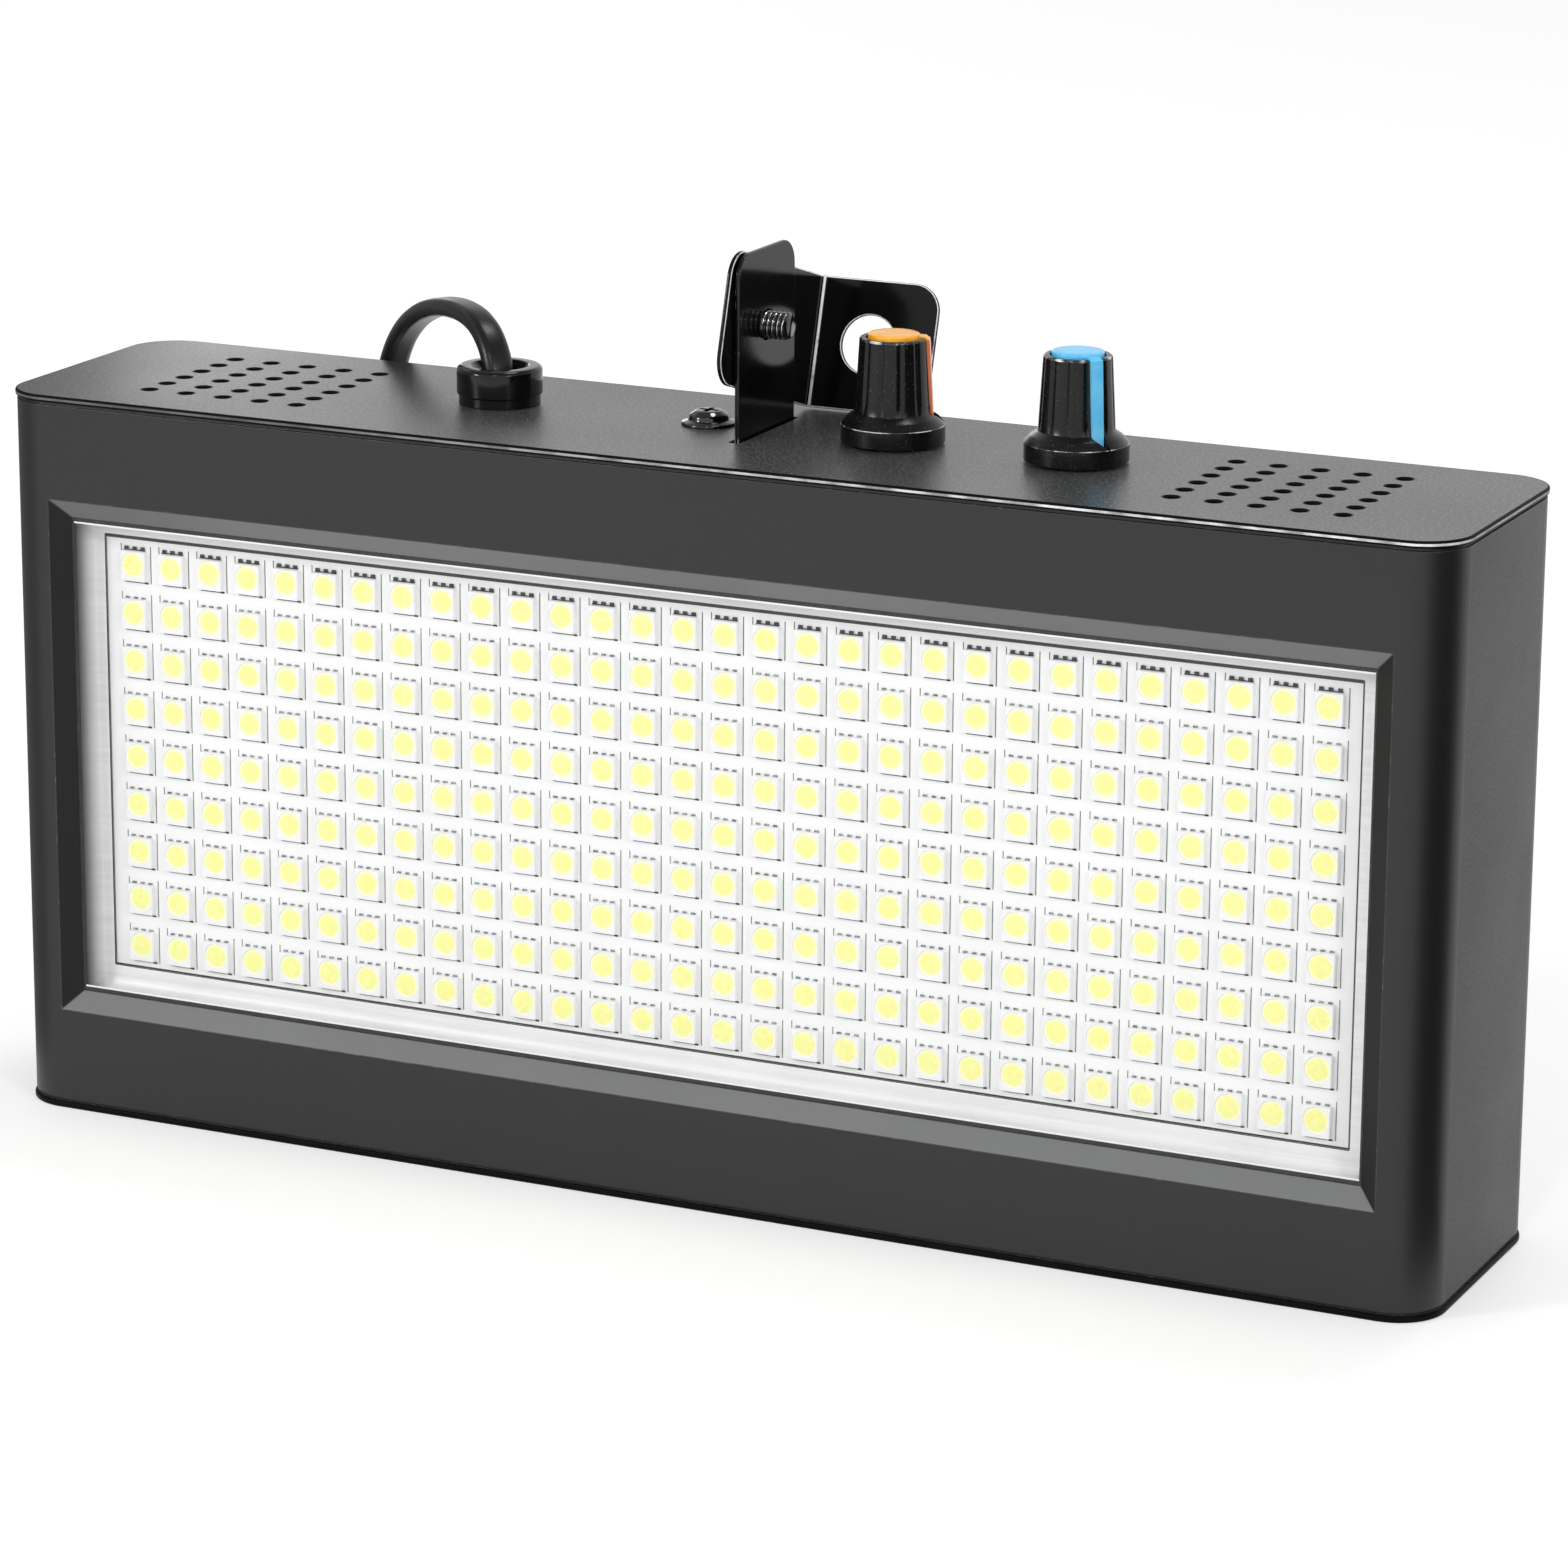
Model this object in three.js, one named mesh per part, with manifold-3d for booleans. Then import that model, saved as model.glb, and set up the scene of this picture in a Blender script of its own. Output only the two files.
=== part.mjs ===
// A flat LED strobe light with a folded hanging bracket, two control knobs and a mains cord.
// Millimetres. The origin is the middle of the underside, +X to the right seen from the front,
// +Y to the back and +Z up. The light stands on its bottom plate.
import * as THREE from 'three';
import { mergeVertices } from 'three/addons/utils/BufferGeometryUtils.js';
import Module from 'manifold-3d';

const wasm = await Module();
wasm.setup();

// Case
const caseWidth = 265.5;
const caseDepth = 54;
const caseHeight = 129.2;
const caseCornerRadius = 8.8;
const plateThickness = 1.2;
const plateOverhang = 0.3;
const plateLipHeight = 3;
const plateLipWall = 1.2;
const shellWall = 2.2;
const frontWall = 2.4;
const shadowGrooveHeight = 0.5;
const shadowGrooveDepth = 0.5;

// Window in the front wall, and what stands behind it
const windowSideBand = 9.75;
const windowTopBand = 18.3;
const bevelInset = 3.4;
const lensSideGap = 1.3;
const lensRim = 2.9;
const lensThickness = 1.5;
const trayDepth = 3.6;
const trayWall = 1;
const trayFloor = 0.6;
const trayReveal = 0.3;
const openingMarginX = 3.3;
const openingMarginZ = 1.98;

// Board with the lamps
const boardSideGap = 1.25;
const boardRim = 3;
const ledBoardThickness = 1.6;
const ledColumns = 30;
const ledRows = 9;
const ledEdgeX = 9.4;
const ledEdgeZ = 8.38;
const ledSize = 5;
const ledHeight = 1.5;
const solderStripHeight = 0.25;
const boardScrewInsetX = 2.6;
const boardScrewInsetZ = 6;
const bossRadius = 2.6;
const boardScrewRadius = 1;
const boardScrewHeadRadius = 2.4;
const boardScrewHeadHeight = 1.6;
const boardScrewBite = 4;
const boardScrewTipRoom = 0.5;

// Vent holes in the top plate, two groups
const ventColumns = 5;
const ventRows = 6;
const ventPitchX = 7.3;
const ventPitchY = 5.9;
const ventRadius = 1.25;
const ventGroupShift = 4.15;
const ventGroupY = 0.5;

// Rear opening, its cover and the cover's slots
const coverSideBand = 12.75;
const coverTopBand = 6.6;
const coverCornerRadius = 4;
const coverThickness = 1.5;
const coverLedge = 8;
const ledgeThickness = 2.2;
const slotLength = 34;
const slotWidth = 2.4;
const slotPitch = 6;
const slotCount = 6;
const slotInset = 40;
const rearScrewRadius = 1.2;
const rearScrewLength = 6;
const rearScrewHeadRadius = 2.9;
const rearScrewHeadHeight = 1.5;

// What stands up on the top plate: one line of fittings, this far behind the middle
const fittingsY = 3.4;

// Ear that carries the hanging bracket. Its foot lies under the top plate.
const earX = 0.3;
const sheetThickness = 1.5;
const earDepth = 22;
const earRise = 31.2;
const earCornerRadius = 4.4;
const earSlotFrontRoom = 1;
const earScrewX = -10.4;
const earScrewRadius = 2;
const earScrewLength = 8;
const earScrewFlangeRadius = 4.5;
const earScrewFlangeHeight = 0.7;
const earScrewDomeRadius = 3.5;
const earScrewDomeHeight = 1.8;
const earFootMargin = 7;

// Hanging bracket: a leg beside the ear and a flange at a right angle to it
const pivotRise = 18;
const bracketWidth = 22.2;
const bracketFrontReach = 14.2;
const bracketFoldReach = 23;
const bracketFlangeReach = 22;
const bracketCornerRadius = 4.8;
const bracketBendRadius = 0.8;
const bracketHoleRadius = 5;
const bracketHoleX = 9.8;
const bracketLeanDegrees = 16.5;

// Pivot bolt
const pivotThreadRadius = 2.4;
const pivotThreadDepth = 0.25;
const pivotThreadPitch = 0.9;
const pivotStub = 4.4;
const pivotHeadRadius = 4.5;
const pivotHeadHeight = 3.5;
const pivotHeadEdge = 1;
const washerRadius = 5;
const washerThickness = 0.8;

// Knobs, shafts and potentiometers
const speedKnobX = 23.6;
const modeKnobX = 56.6;
const speedPointerDegrees = 20;
const modePointerDegrees = -34;
const knobLift = 0.4;
const knobCollarRadius = 8.75;
const knobCollarHeight = 3.4;
const knobCollarDome = 0.3;
const knobShoulderRadius = 7.7;
const knobShoulderHeight = 4.9;
const knobFootRadius = 6.4;
const knobFootHeight = 5.5;
const knobTopRadius = 5.75;
const knobHeight = 18;
const knobEdge = 0.5;
const knobSkirtRadius = 6.9;
const knobSkirtHeight = 2.7;
const knobHubRadius = 4.4;
const capRadius = 4.35;
const capSeatDepth = 1.2;
const capDome = 0.8;
const pointerWidth = 2.4;
const pointerThickness = 0.7;
const pointerProud = 0.3;
const pointerTipRadius = 8;
const shaftRadius = 3;
const shaftNeckRadius = 2.2;
const shaftRise = 14.5;
const bushingRadius = 3.5;
const bushingRise = 4.4;
const potRadius = 8.3;
const potDepth = 8;
const potFloor = 1.5;
const potNutRadius = 5.77;
const potNutHeight = 2;

// Cord grommet
const grommetX = -50.3;
const grommetNeckRadius = 7.05;
const grommetNeckHeight = 1.7;
const grommetRingRadius = 7.4;
const grommetRingHeight = 4.9;
const grommetRingEdge = 0.5;
const grommetBore = 3.6;
const grommetMouth = 4.9;
const grommetStemRadius = 5.6;
const grommetStemLength = 9;
const grommetNutRadius = 8.8;
const grommetNutHeight = 3;

// Flat two-core cord
const cordWidth = 5.4;
const cordThickness = 3.3;
const coilX = -52;
const coilFrontY = 38.5;
const coilRadius = 36;
const coilTurnGap = 0.9;
const coilLayerGap = 0.6;
const coilTurns = 5;
const climbTurns = 0.5;
const coilFlankShare = 0.33;
const tieThickness = 0.6;
const tieWidth = 8;
const tieRoom = 0.9;

// Plug
const plugLength = 38;
const plugWidth = 18;
const plugHeight = 13;
const plugCornerRadius = 4;
const plugNoseLength = 20;
const plugNoseWidth = 11;
const plugNoseHeight = 11.5;
const plugNoseTipShare = 0.64;
const plugX = -20;
const bladeLength = 16;
const bladeHeight = 6.3;
const bladeThickness = 1.5;
const bladeSpacing = 12.7;

// Electronics on the rear cover
const controlBoardX = 0;
const controlBoardDrop = 2.6;
const controlBoardWidth = 92;
const controlBoardHeight = 64;
const controlBoardThickness = 1.6;
const standoffLength = 6;
const standoffRadius = 3;
const standoffInset = 5;
const capacitorRadius = 8;
const capacitorLength = 22;
const capacitorX = -20;
const capacitorRise = 14;
const capacitorBead = 0.6;
const capacitorBeadRise = 1.8;
const chipWidth = 10;
const chipHeight = 6.5;
const chipThickness = 3;
const chipX = 8;
const chipDrop = 10;
const sinkWidth = 26;
const sinkHeight = 30;
const sinkBase = 2;
const sinkDepth = 16;
const sinkFins = 5;
const sinkFinThickness = 1.6;
const sinkX = 28;
const sinkRise = 8;
const terminalWidth = 14;
const terminalHeight = 11;
const terminalDepth = 10;
const terminalX = -34;
const terminalDrop = 18;
const leadDip = 8;
const leadEnd = 9;

// Room between pieces, and how far a cutter runs past what it cuts
const clearance = 0.3;
const overrun = 1;

// Steps round curves
const cornerSteps = 4;
const screwSteps = 8;
const smallSteps = 12;
const roundSteps = 24;
const slotSteps = 2;
const cordSteps = 54;
const leadSteps = 20;
const leadPlaces = 6;
const tailSteps = 8;
const sectionCornerSteps = 3;
const coilStepsPerTurn = 24;
const hexagonSides = 6;

// Places worked out from the sizes
const middleZ = caseHeight / 2;
const plateTop = caseHeight;
const plateUnder = caseHeight - plateThickness;
const shellFrontY = -caseDepth / 2 + plateOverhang;
const shellBackY = caseDepth / 2 - plateOverhang;
const shellHalfWidth = caseWidth / 2 - plateOverhang;
const shellRadius = caseCornerRadius - plateOverhang;
const cavityFrontY = shellFrontY + frontWall;
const coverInnerY = shellBackY - coverThickness;
const cavityBackY = coverInnerY - ledgeThickness;
const cavityHalfWidth = shellHalfWidth - shellWall;
const cavityRadius = shellRadius - shellWall;
const windowWidth = caseWidth - 2 * windowSideBand;
const windowHeight = caseHeight - 2 * windowTopBand;
const windowInnerWidth = windowWidth - 2 * bevelInset;
const windowInnerHeight = windowHeight - 2 * bevelInset;
const ledSpanX = windowInnerWidth - 2 * ledEdgeX;
const ledSpanZ = windowInnerHeight - 2 * ledEdgeZ;
const ledPitchX = ledSpanX / (ledColumns - 1);
const ledPitchZ = ledSpanZ / (ledRows - 1);
const boardOpeningWidth = ledSpanX + ledSize + 2 * openingMarginX;
const boardOpeningHeight = ledSpanZ + ledSize + 2 * openingMarginZ;
const ledBoardWidth = 2 * (cavityHalfWidth - boardSideGap);
const ledBoardHeight = boardOpeningHeight + 2 * boardRim;
const trayFrontY = cavityFrontY + lensThickness;
const ledBoardFrontY = trayFrontY + trayDepth;
const ledBoardBackY = ledBoardFrontY + ledBoardThickness;
const boardScrewX = ledBoardWidth / 2 - boardScrewInsetX;
const boardScrewZ = ledBoardHeight / 2 - boardScrewInsetZ;
const lensWidth = 2 * (boardScrewX - bossRadius - lensSideGap);
const lensHeight = windowInnerHeight + 2 * lensRim;
const bossHoleDepth = boardScrewBite + boardScrewTipRoom;
const coverWidth = caseWidth - 2 * coverSideBand;
const coverHeight = caseHeight - 2 * coverTopBand;
const slotGroupX = coverWidth / 2 - slotInset;
const ventGroupX = (modeKnobX + knobCollarRadius + caseWidth / 2) / 2 - ventGroupShift;
const rearScrewX = coverWidth / 2 - coverLedge / 2;
const rearScrewZ = coverHeight / 2 - coverLedge / 2;
const earLeftX = earX - sheetThickness / 2;
const earRightX = earX + sheetThickness / 2;
const pivotZ = plateTop + pivotRise;
const legRightX = earLeftX - clearance;
const legLeftX = legRightX - sheetThickness;
const washerRightX = legLeftX - clearance;
const washerLeftX = washerRightX - washerThickness;
const controlBoardBackY = coverInnerY - standoffLength;
const controlBoardFrontY = controlBoardBackY - controlBoardThickness;
const controlBoardZ = middleZ - controlBoardDrop;
const terminalZ = controlBoardZ - terminalDrop;

function toSolid(geometry) {
  const bare = geometry.clone();
  bare.deleteAttribute('normal');
  bare.deleteAttribute('uv');
  const merged = mergeVertices(bare);
  return new wasm.Manifold(new wasm.Mesh({
    numProp: 3,
    vertProperties: merged.attributes.position.array,
    triVerts: Uint32Array.from(merged.index.array),
  }));
}

function toGeometry(solid) {
  const mesh = solid.getMesh();
  const geometry = new THREE.BufferGeometry();
  geometry.setAttribute('position', new THREE.BufferAttribute(new Float32Array(mesh.vertProperties), 3));
  geometry.setIndex(new THREE.BufferAttribute(new Uint32Array(mesh.triVerts), 1));
  geometry.computeVertexNormals();
  return geometry;
}

// Solids from closed outlines and profiles
function box([x0, x1], [y0, y1], [z0, z1]) {
  const geometry = new THREE.BoxGeometry(x1 - x0, y1 - y0, z1 - z0);
  geometry.translate((x0 + x1) / 2, (y0 + y1) / 2, (z0 + z1) / 2);
  return toSolid(geometry);
}

function extruded(shape, length, steps) {
  return new THREE.ExtrudeGeometry(shape, { depth: length, bevelEnabled: false, curveSegments: steps });
}

function prismUp(shape, z0, z1, steps = cornerSteps) {
  return toSolid(extruded(shape, z1 - z0, steps).translate(0, 0, z0));
}

// The shape's own x and y become X and Z
function prismBack(shape, y0, y1, steps = cornerSteps) {
  return toSolid(extruded(shape, y1 - y0, steps).rotateX(Math.PI / 2).translate(0, y1, 0));
}

// The shape's own x and y become Y and Z
function extrudedRight(shape, x0, x1, steps) {
  const turn = new THREE.Matrix4().makeBasis(
    new THREE.Vector3(0, 1, 0),
    new THREE.Vector3(0, 0, 1),
    new THREE.Vector3(1, 0, 0),
  );
  return extruded(shape, x1 - x0, steps).applyMatrix4(turn).translate(x0, 0, 0);
}

function prismRight(shape, x0, x1, steps = cornerSteps) {
  return toSolid(extrudedRight(shape, x0, x1, steps));
}

function roundedRect(width, height, radius, x = 0, y = 0) {
  const shape = new THREE.Shape();
  const right = x + width / 2 - radius;
  const left = x - width / 2 + radius;
  const top = y + height / 2 - radius;
  const bottom = y - height / 2 + radius;
  shape.absarc(right, top, radius, 0, Math.PI / 2);
  shape.absarc(left, top, radius, Math.PI / 2, Math.PI);
  shape.absarc(left, bottom, radius, Math.PI, Math.PI * 1.5);
  shape.absarc(right, bottom, radius, Math.PI * 1.5, Math.PI * 2);
  return shape;
}

function polygon(points) {
  return new THREE.Shape(points.map(([x, y]) => new THREE.Vector2(x, y)));
}

function circle(radius, x = 0, y = 0, steps = screwSteps) {
  const points = [];
  for (let i = 0; i < steps; i += 1) {
    const angle = (2 * Math.PI * (i + 0.5)) / steps;
    points.push([x + radius * Math.cos(angle), y + radius * Math.sin(angle)]);
  }
  return polygon(points);
}

// A profile of [radius, height] points, turned about Z
function turned(profile, steps = roundSteps) {
  const points = profile.map(([r, z]) => new THREE.Vector2(r, z));
  return toSolid(new THREE.LatheGeometry(points, steps).rotateX(Math.PI / 2));
}

// The square corner that a rounding takes away, with its point at the origin
function cornerCutter(radius, length) {
  const shape = new THREE.Shape();
  shape.moveTo(-overrun, -overrun);
  shape.lineTo(radius, -overrun);
  shape.lineTo(radius, 0);
  shape.absarc(radius, radius, radius, -Math.PI / 2, -Math.PI, true);
  shape.lineTo(-overrun, radius);
  shape.closePath();
  return extruded(shape, length, cornerSteps).translate(0, 0, -length / 2);
}

function joined(solids) {
  return solids.reduce((whole, next) => whole.add(next));
}

function cut(body, cutters) {
  return cutters.reduce((whole, next) => whole.subtract(next), body);
}

const light = new THREE.Group();

function addPart(name, solid, [colour, roughness, metalness], parent = light) {
  const material = new THREE.MeshStandardMaterial({ color: colour, roughness, metalness });
  const mesh = new THREE.Mesh(toGeometry(solid), material);
  mesh.name = name;
  parent.add(mesh);
  return mesh;
}

// Finishes: colour, roughness, metalness
const satinBlack = [0x2b2b2d, 0.5, 0.1];
const paintedPlate = [0x38393a, 0.6, 0.3];
const glossBlack = [0x111113, 0.2, 0.2];
const blackPlastic = [0x141416, 0.4, 0];
const clearSheet = [0xeef4f6, 0.05, 0];
const brushedSilver = [0xc8cacc, 0.3, 0.9];
const whiteBoard = [0xf4f6f6, 0.5, 0];
const ledWhite = [0xf8f8d8, 0.4, 0];
const greenBoard = [0x1d5b33, 0.5, 0];
const steel = [0xa8abae, 0.35, 1];
const brass = [0xb08d3c, 0.35, 1];
const orange = [0xff8a1c, 0.35, 0];
const blue = [0x2fa4f0, 0.35, 0];
const cordBlack = [0x1a1a1b, 0.45, 0];
const nylon = [0xd8d8d2, 0.6, 0];

// Case: a moulded ring closed by two plates and a rear cover
function plateOutline(inset) {
  const radius = caseCornerRadius - inset;
  return roundedRect(caseWidth - 2 * inset, caseDepth - 2 * inset, radius);
}

function rectCut(width, height, y0, y1) {
  return box([-width / 2, width / 2], [y0, y1], [middleZ - height / 2, middleZ + height / 2]);
}

// A wedge-sided opening that narrows from the front face to the back of the front wall
function windowCutter() {
  const slope = bevelInset / frontWall;
  const grow = overrun * slope;
  const shape = uprightCorners(windowWidth + 2 * grow, windowHeight + 2 * grow);
  const back = uprightCorners(windowInnerWidth, windowInnerHeight);
  const frontY = shellFrontY - overrun;
  const positions = [];
  shape.forEach(([x, z]) => positions.push(x, frontY, z));
  back.forEach(([x, z]) => positions.push(x, cavityFrontY, z));
  const geometry = new THREE.BufferGeometry();
  geometry.setAttribute('position', new THREE.Float32BufferAttribute(positions, 3));
  geometry.setIndex([
    0, 1, 2, 0, 2, 3,
    4, 6, 5, 4, 7, 6,
    0, 4, 5, 0, 5, 1,
    1, 5, 6, 1, 6, 2,
    2, 6, 7, 2, 7, 3,
    3, 7, 4, 3, 4, 0,
  ]);
  return toSolid(geometry);
}

// The four corners of an upright rectangle, anticlockwise seen from the front
function uprightCorners(width, height) {
  return [
    [-width / 2, middleZ - height / 2],
    [width / 2, middleZ - height / 2],
    [width / 2, middleZ + height / 2],
    [-width / 2, middleZ + height / 2],
  ];
}

function coverOutline(margin) {
  const width = coverWidth + 2 * margin;
  const height = coverHeight + 2 * margin;
  return roundedRect(width, height, coverCornerRadius + margin, 0, middleZ);
}

function fourCorners(x, z) {
  return [[-x, z], [x, z], [-x, -z], [x, -z]].map(([cx, cz]) => [cx, middleZ + cz]);
}

const boardScrewPlaces = fourCorners(boardScrewX, boardScrewZ);
const rearScrewPlaces = [-1, 0, 1].flatMap((side) => [
  [side * rearScrewX, middleZ + rearScrewZ],
  [side * rearScrewX, middleZ - rearScrewZ],
]);

function frontShell() {
  const bottom = plateThickness;
  const top = plateUnder;
  const grooved = plateOutline(plateOverhang + shadowGrooveDepth);
  const full = plateOutline(plateOverhang);
  const outer = joined([
    prismUp(grooved, bottom, top),
    prismUp(full, bottom + shadowGrooveHeight, top - shadowGrooveHeight),
  ]);
  const cavityDepth = cavityBackY - cavityFrontY;
  const cavityY = (cavityBackY + cavityFrontY) / 2;
  const cavity = roundedRect(2 * cavityHalfWidth, cavityDepth, cavityRadius, 0, cavityY);
  const ledgeWidth = coverWidth - 2 * coverLedge;
  const ledgeHeight = coverHeight - 2 * coverLedge;
  const shell = cut(outer, [
    prismUp(cavity, bottom - overrun, top + overrun),
    windowCutter(),
    rectCut(windowInnerWidth, windowInnerHeight, shellFrontY - overrun, cavityFrontY + overrun),
    prismBack(coverOutline(clearance), coverInnerY, shellBackY + overrun),
    rectCut(ledgeWidth, ledgeHeight, cavityBackY - overrun, shellBackY + overrun),
    ...rearScrewPlaces.map(([x, z]) => prismBack(
      circle(rearScrewRadius + clearance, x, z),
      cavityBackY - overrun,
      shellBackY,
    )),
  ]);
  const bosses = boardScrewPlaces.map(([x, z]) => cut(
    prismBack(circle(bossRadius, x, z), cavityFrontY - frontWall / 2, ledBoardFrontY),
    [prismBack(
      circle(boardScrewRadius + clearance, x, z),
      ledBoardFrontY - bossHoleDepth,
      ledBoardFrontY + overrun,
    )],
  ));
  return joined([shell, ...bosses]);
}

// The rim under a plate that drops inside the shell
function plateLip(z0, z1) {
  const y0 = cavityFrontY + clearance;
  const y1 = cavityBackY - clearance;
  const halfWidth = cavityHalfWidth - clearance;
  const radius = cavityRadius - clearance;
  const middle = (y0 + y1) / 2;
  const outer = roundedRect(2 * halfWidth, y1 - y0, radius, 0, middle);
  const wide = 2 * (halfWidth - plateLipWall);
  const inner = roundedRect(wide, y1 - y0 - 2 * plateLipWall, radius - plateLipWall, 0, middle);
  return cut(prismUp(outer, z0, z1), [prismUp(inner, z0 - overrun, z1 + overrun)]);
}

function ventHoles() {
  const holes = [];
  for (const side of [-1, 1]) {
    for (let column = 0; column < ventColumns; column += 1) {
      for (let row = 0; row < ventRows; row += 1) {
        const x = side * ventGroupX + (column - (ventColumns - 1) / 2) * ventPitchX;
        const y = ventGroupY + (row - (ventRows - 1) / 2) * ventPitchY;
        const hole = circle(ventRadius, x, y, screwSteps);
        holes.push(prismUp(hole, plateUnder - overrun, plateTop + overrun));
      }
    }
  }
  return holes;
}

function plateHole(radius, x) {
  const round = circle(radius + clearance, x, fittingsY, smallSteps);
  return prismUp(round, plateUnder - overrun, plateTop + overrun);
}

function topPlate() {
  const plate = joined([
    prismUp(plateOutline(0), plateUnder, plateTop),
    plateLip(plateUnder - plateLipHeight, plateUnder),
  ]);
  const earSlot = box(
    [earLeftX - clearance, earRightX + clearance],
    [fittingsY - earDepth / 2 - earSlotFrontRoom, fittingsY + earDepth / 2 + clearance],
    [plateUnder - overrun, plateTop + overrun],
  );
  return cut(plate, [
    ...ventHoles(),
    earSlot,
    plateHole(earScrewRadius, earScrewX),
    plateHole(bushingRadius, speedKnobX),
    plateHole(bushingRadius, modeKnobX),
    plateHole(grommetStemRadius, grommetX),
  ]);
}

function bottomPlate() {
  return joined([
    prismUp(plateOutline(0), 0, plateThickness),
    plateLip(plateThickness, plateThickness + plateLipHeight),
  ]);
}

function rearCover() {
  const slots = [];
  for (const side of [-1, 1]) {
    for (let row = 0; row < slotCount; row += 1) {
      const z = middleZ + (row - (slotCount - 1) / 2) * slotPitch;
      const slot = roundedRect(slotLength, slotWidth, slotWidth / 2, side * slotGroupX, z);
      slots.push(prismBack(slot, coverInnerY - overrun, shellBackY + overrun, slotSteps));
    }
  }
  const holes = rearScrewPlaces.map(([x, z]) => prismBack(
    circle(rearScrewRadius + clearance, x, z),
    coverInnerY - overrun,
    shellBackY + overrun,
  ));
  return cut(prismBack(coverOutline(0), coverInnerY, shellBackY), [...slots, ...holes]);
}

addPart('front_shell', frontShell(), satinBlack);
addPart('top_plate', topPlate(), paintedPlate);
addPart('bottom_plate', bottomPlate(), paintedPlate);
addPart('rear_cover', rearCover(), paintedPlate);

// A pan-head screw that points to -Y, with its seat at y
function screwBack(x, z, seatY, shankRadius, length, headRadius, headHeight) {
  return joined([
    prismBack(circle(shankRadius, x, z), seatY - length, seatY + headHeight / 2),
    prismBack(circle(headRadius, x, z), seatY, seatY + headHeight),
  ]);
}

rearScrewPlaces.forEach(([x, z], i) => {
  const screw = screwBack(
    x, z, shellBackY, rearScrewRadius, rearScrewLength, rearScrewHeadRadius, rearScrewHeadHeight,
  );
  addPart(`rear_screw_${i + 1}`, screw, glossBlack);
});

// Window sheet, reflector tray and lamp board
function reflectorTray() {
  const pocketWidth = windowInnerWidth + 2 * trayReveal;
  const pocketHeight = windowInnerHeight + 2 * trayReveal;
  const outerWidth = pocketWidth + 2 * trayWall;
  const outerHeight = pocketHeight + 2 * trayWall;
  const floorY = ledBoardFrontY - trayFloor;
  return cut(
    joined([
      rectCut(lensWidth, lensHeight, trayFrontY, trayFrontY + trayWall),
      rectCut(outerWidth, outerHeight, trayFrontY, ledBoardFrontY),
    ]),
    [
      rectCut(pocketWidth, pocketHeight, trayFrontY - overrun, floorY),
      rectCut(boardOpeningWidth, boardOpeningHeight, floorY - overrun, ledBoardFrontY + overrun),
    ],
  );
}

function ledBoard() {
  const holes = boardScrewPlaces.map(([x, z]) => prismBack(
    circle(boardScrewRadius + clearance, x, z),
    ledBoardFrontY - overrun,
    ledBoardBackY + overrun,
  ));
  return cut(rectCut(ledBoardWidth, ledBoardHeight, ledBoardFrontY, ledBoardBackY), holes);
}

// One row: square packages joined along the board by their solder strip
function ledRow(z) {
  const first = -((ledColumns - 1) / 2) * ledPitchX;
  const points = [];
  for (let column = 0; column < ledColumns; column += 1) {
    const x = first + column * ledPitchX;
    const foot = -solderStripHeight;
    points.push([x - ledSize / 2, foot], [x - ledSize / 2, -ledHeight]);
    points.push([x + ledSize / 2, -ledHeight], [x + ledSize / 2, foot]);
  }
  points[0][1] = 0;
  points[points.length - 1][1] = 0;
  const row = extruded(polygon(points.reverse()), ledSize, 1);
  return toSolid(row.translate(0, ledBoardFrontY, z - ledSize / 2));
}

addPart('window_lens', rectCut(lensWidth, lensHeight, cavityFrontY, trayFrontY), clearSheet);
addPart('reflector_tray', reflectorTray(), brushedSilver);
addPart('led_board', ledBoard(), whiteBoard);
for (let row = 0; row < ledRows; row += 1) {
  const z = middleZ + ((ledRows - 1) / 2 - row) * ledPitchZ;
  addPart(`led_row_${row + 1}`, ledRow(z), ledWhite);
}
boardScrewPlaces.forEach(([x, z], i) => {
  const length = ledBoardThickness + boardScrewBite;
  const screw = screwBack(
    x, z, ledBoardBackY, boardScrewRadius, length, boardScrewHeadRadius, boardScrewHeadHeight,
  );
  addPart(`board_screw_${i + 1}`, screw, steel);
});

// Ear: an upright blade through the top plate, on a foot that is screwed under it
function earBracket() {
  const top = plateTop + earRise;
  const front = fittingsY - earDepth / 2;
  const back = fittingsY + earDepth / 2;
  const blade = box([earLeftX, earRightX], [front, back], [plateUnder - sheetThickness, top]);
  const foot = box(
    [earScrewX - earFootMargin, earRightX],
    [front, back],
    [plateUnder - sheetThickness, plateUnder],
  );
  const toBlade = new THREE.Matrix4().makeBasis(
    new THREE.Vector3(0, 1, 0),
    new THREE.Vector3(0, 0, -1),
    new THREE.Vector3(-1, 0, 0),
  );
  const cutter = cornerCutter(earCornerRadius, sheetThickness + 2 * overrun);
  const frontCorner = toSolid(cutter.clone().applyMatrix4(toBlade).translate(earX, front, top));
  const toBack = new THREE.Matrix4().makeRotationZ(Math.PI);
  const backGeometry = cutter.clone().applyMatrix4(toBlade).applyMatrix4(toBack);
  const backCorner = toSolid(backGeometry.translate(earX, back, top));
  const pivotHole = circle(pivotThreadRadius + clearance, fittingsY, pivotZ, smallSteps);
  const footHole = circle(earScrewRadius + clearance, earScrewX, fittingsY);
  return cut(joined([blade, foot]), [
    frontCorner,
    backCorner,
    prismRight(pivotHole, earLeftX - overrun, earRightX + overrun),
    prismUp(footHole, plateUnder - sheetThickness - overrun, plateUnder + overrun),
  ]);
}

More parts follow.
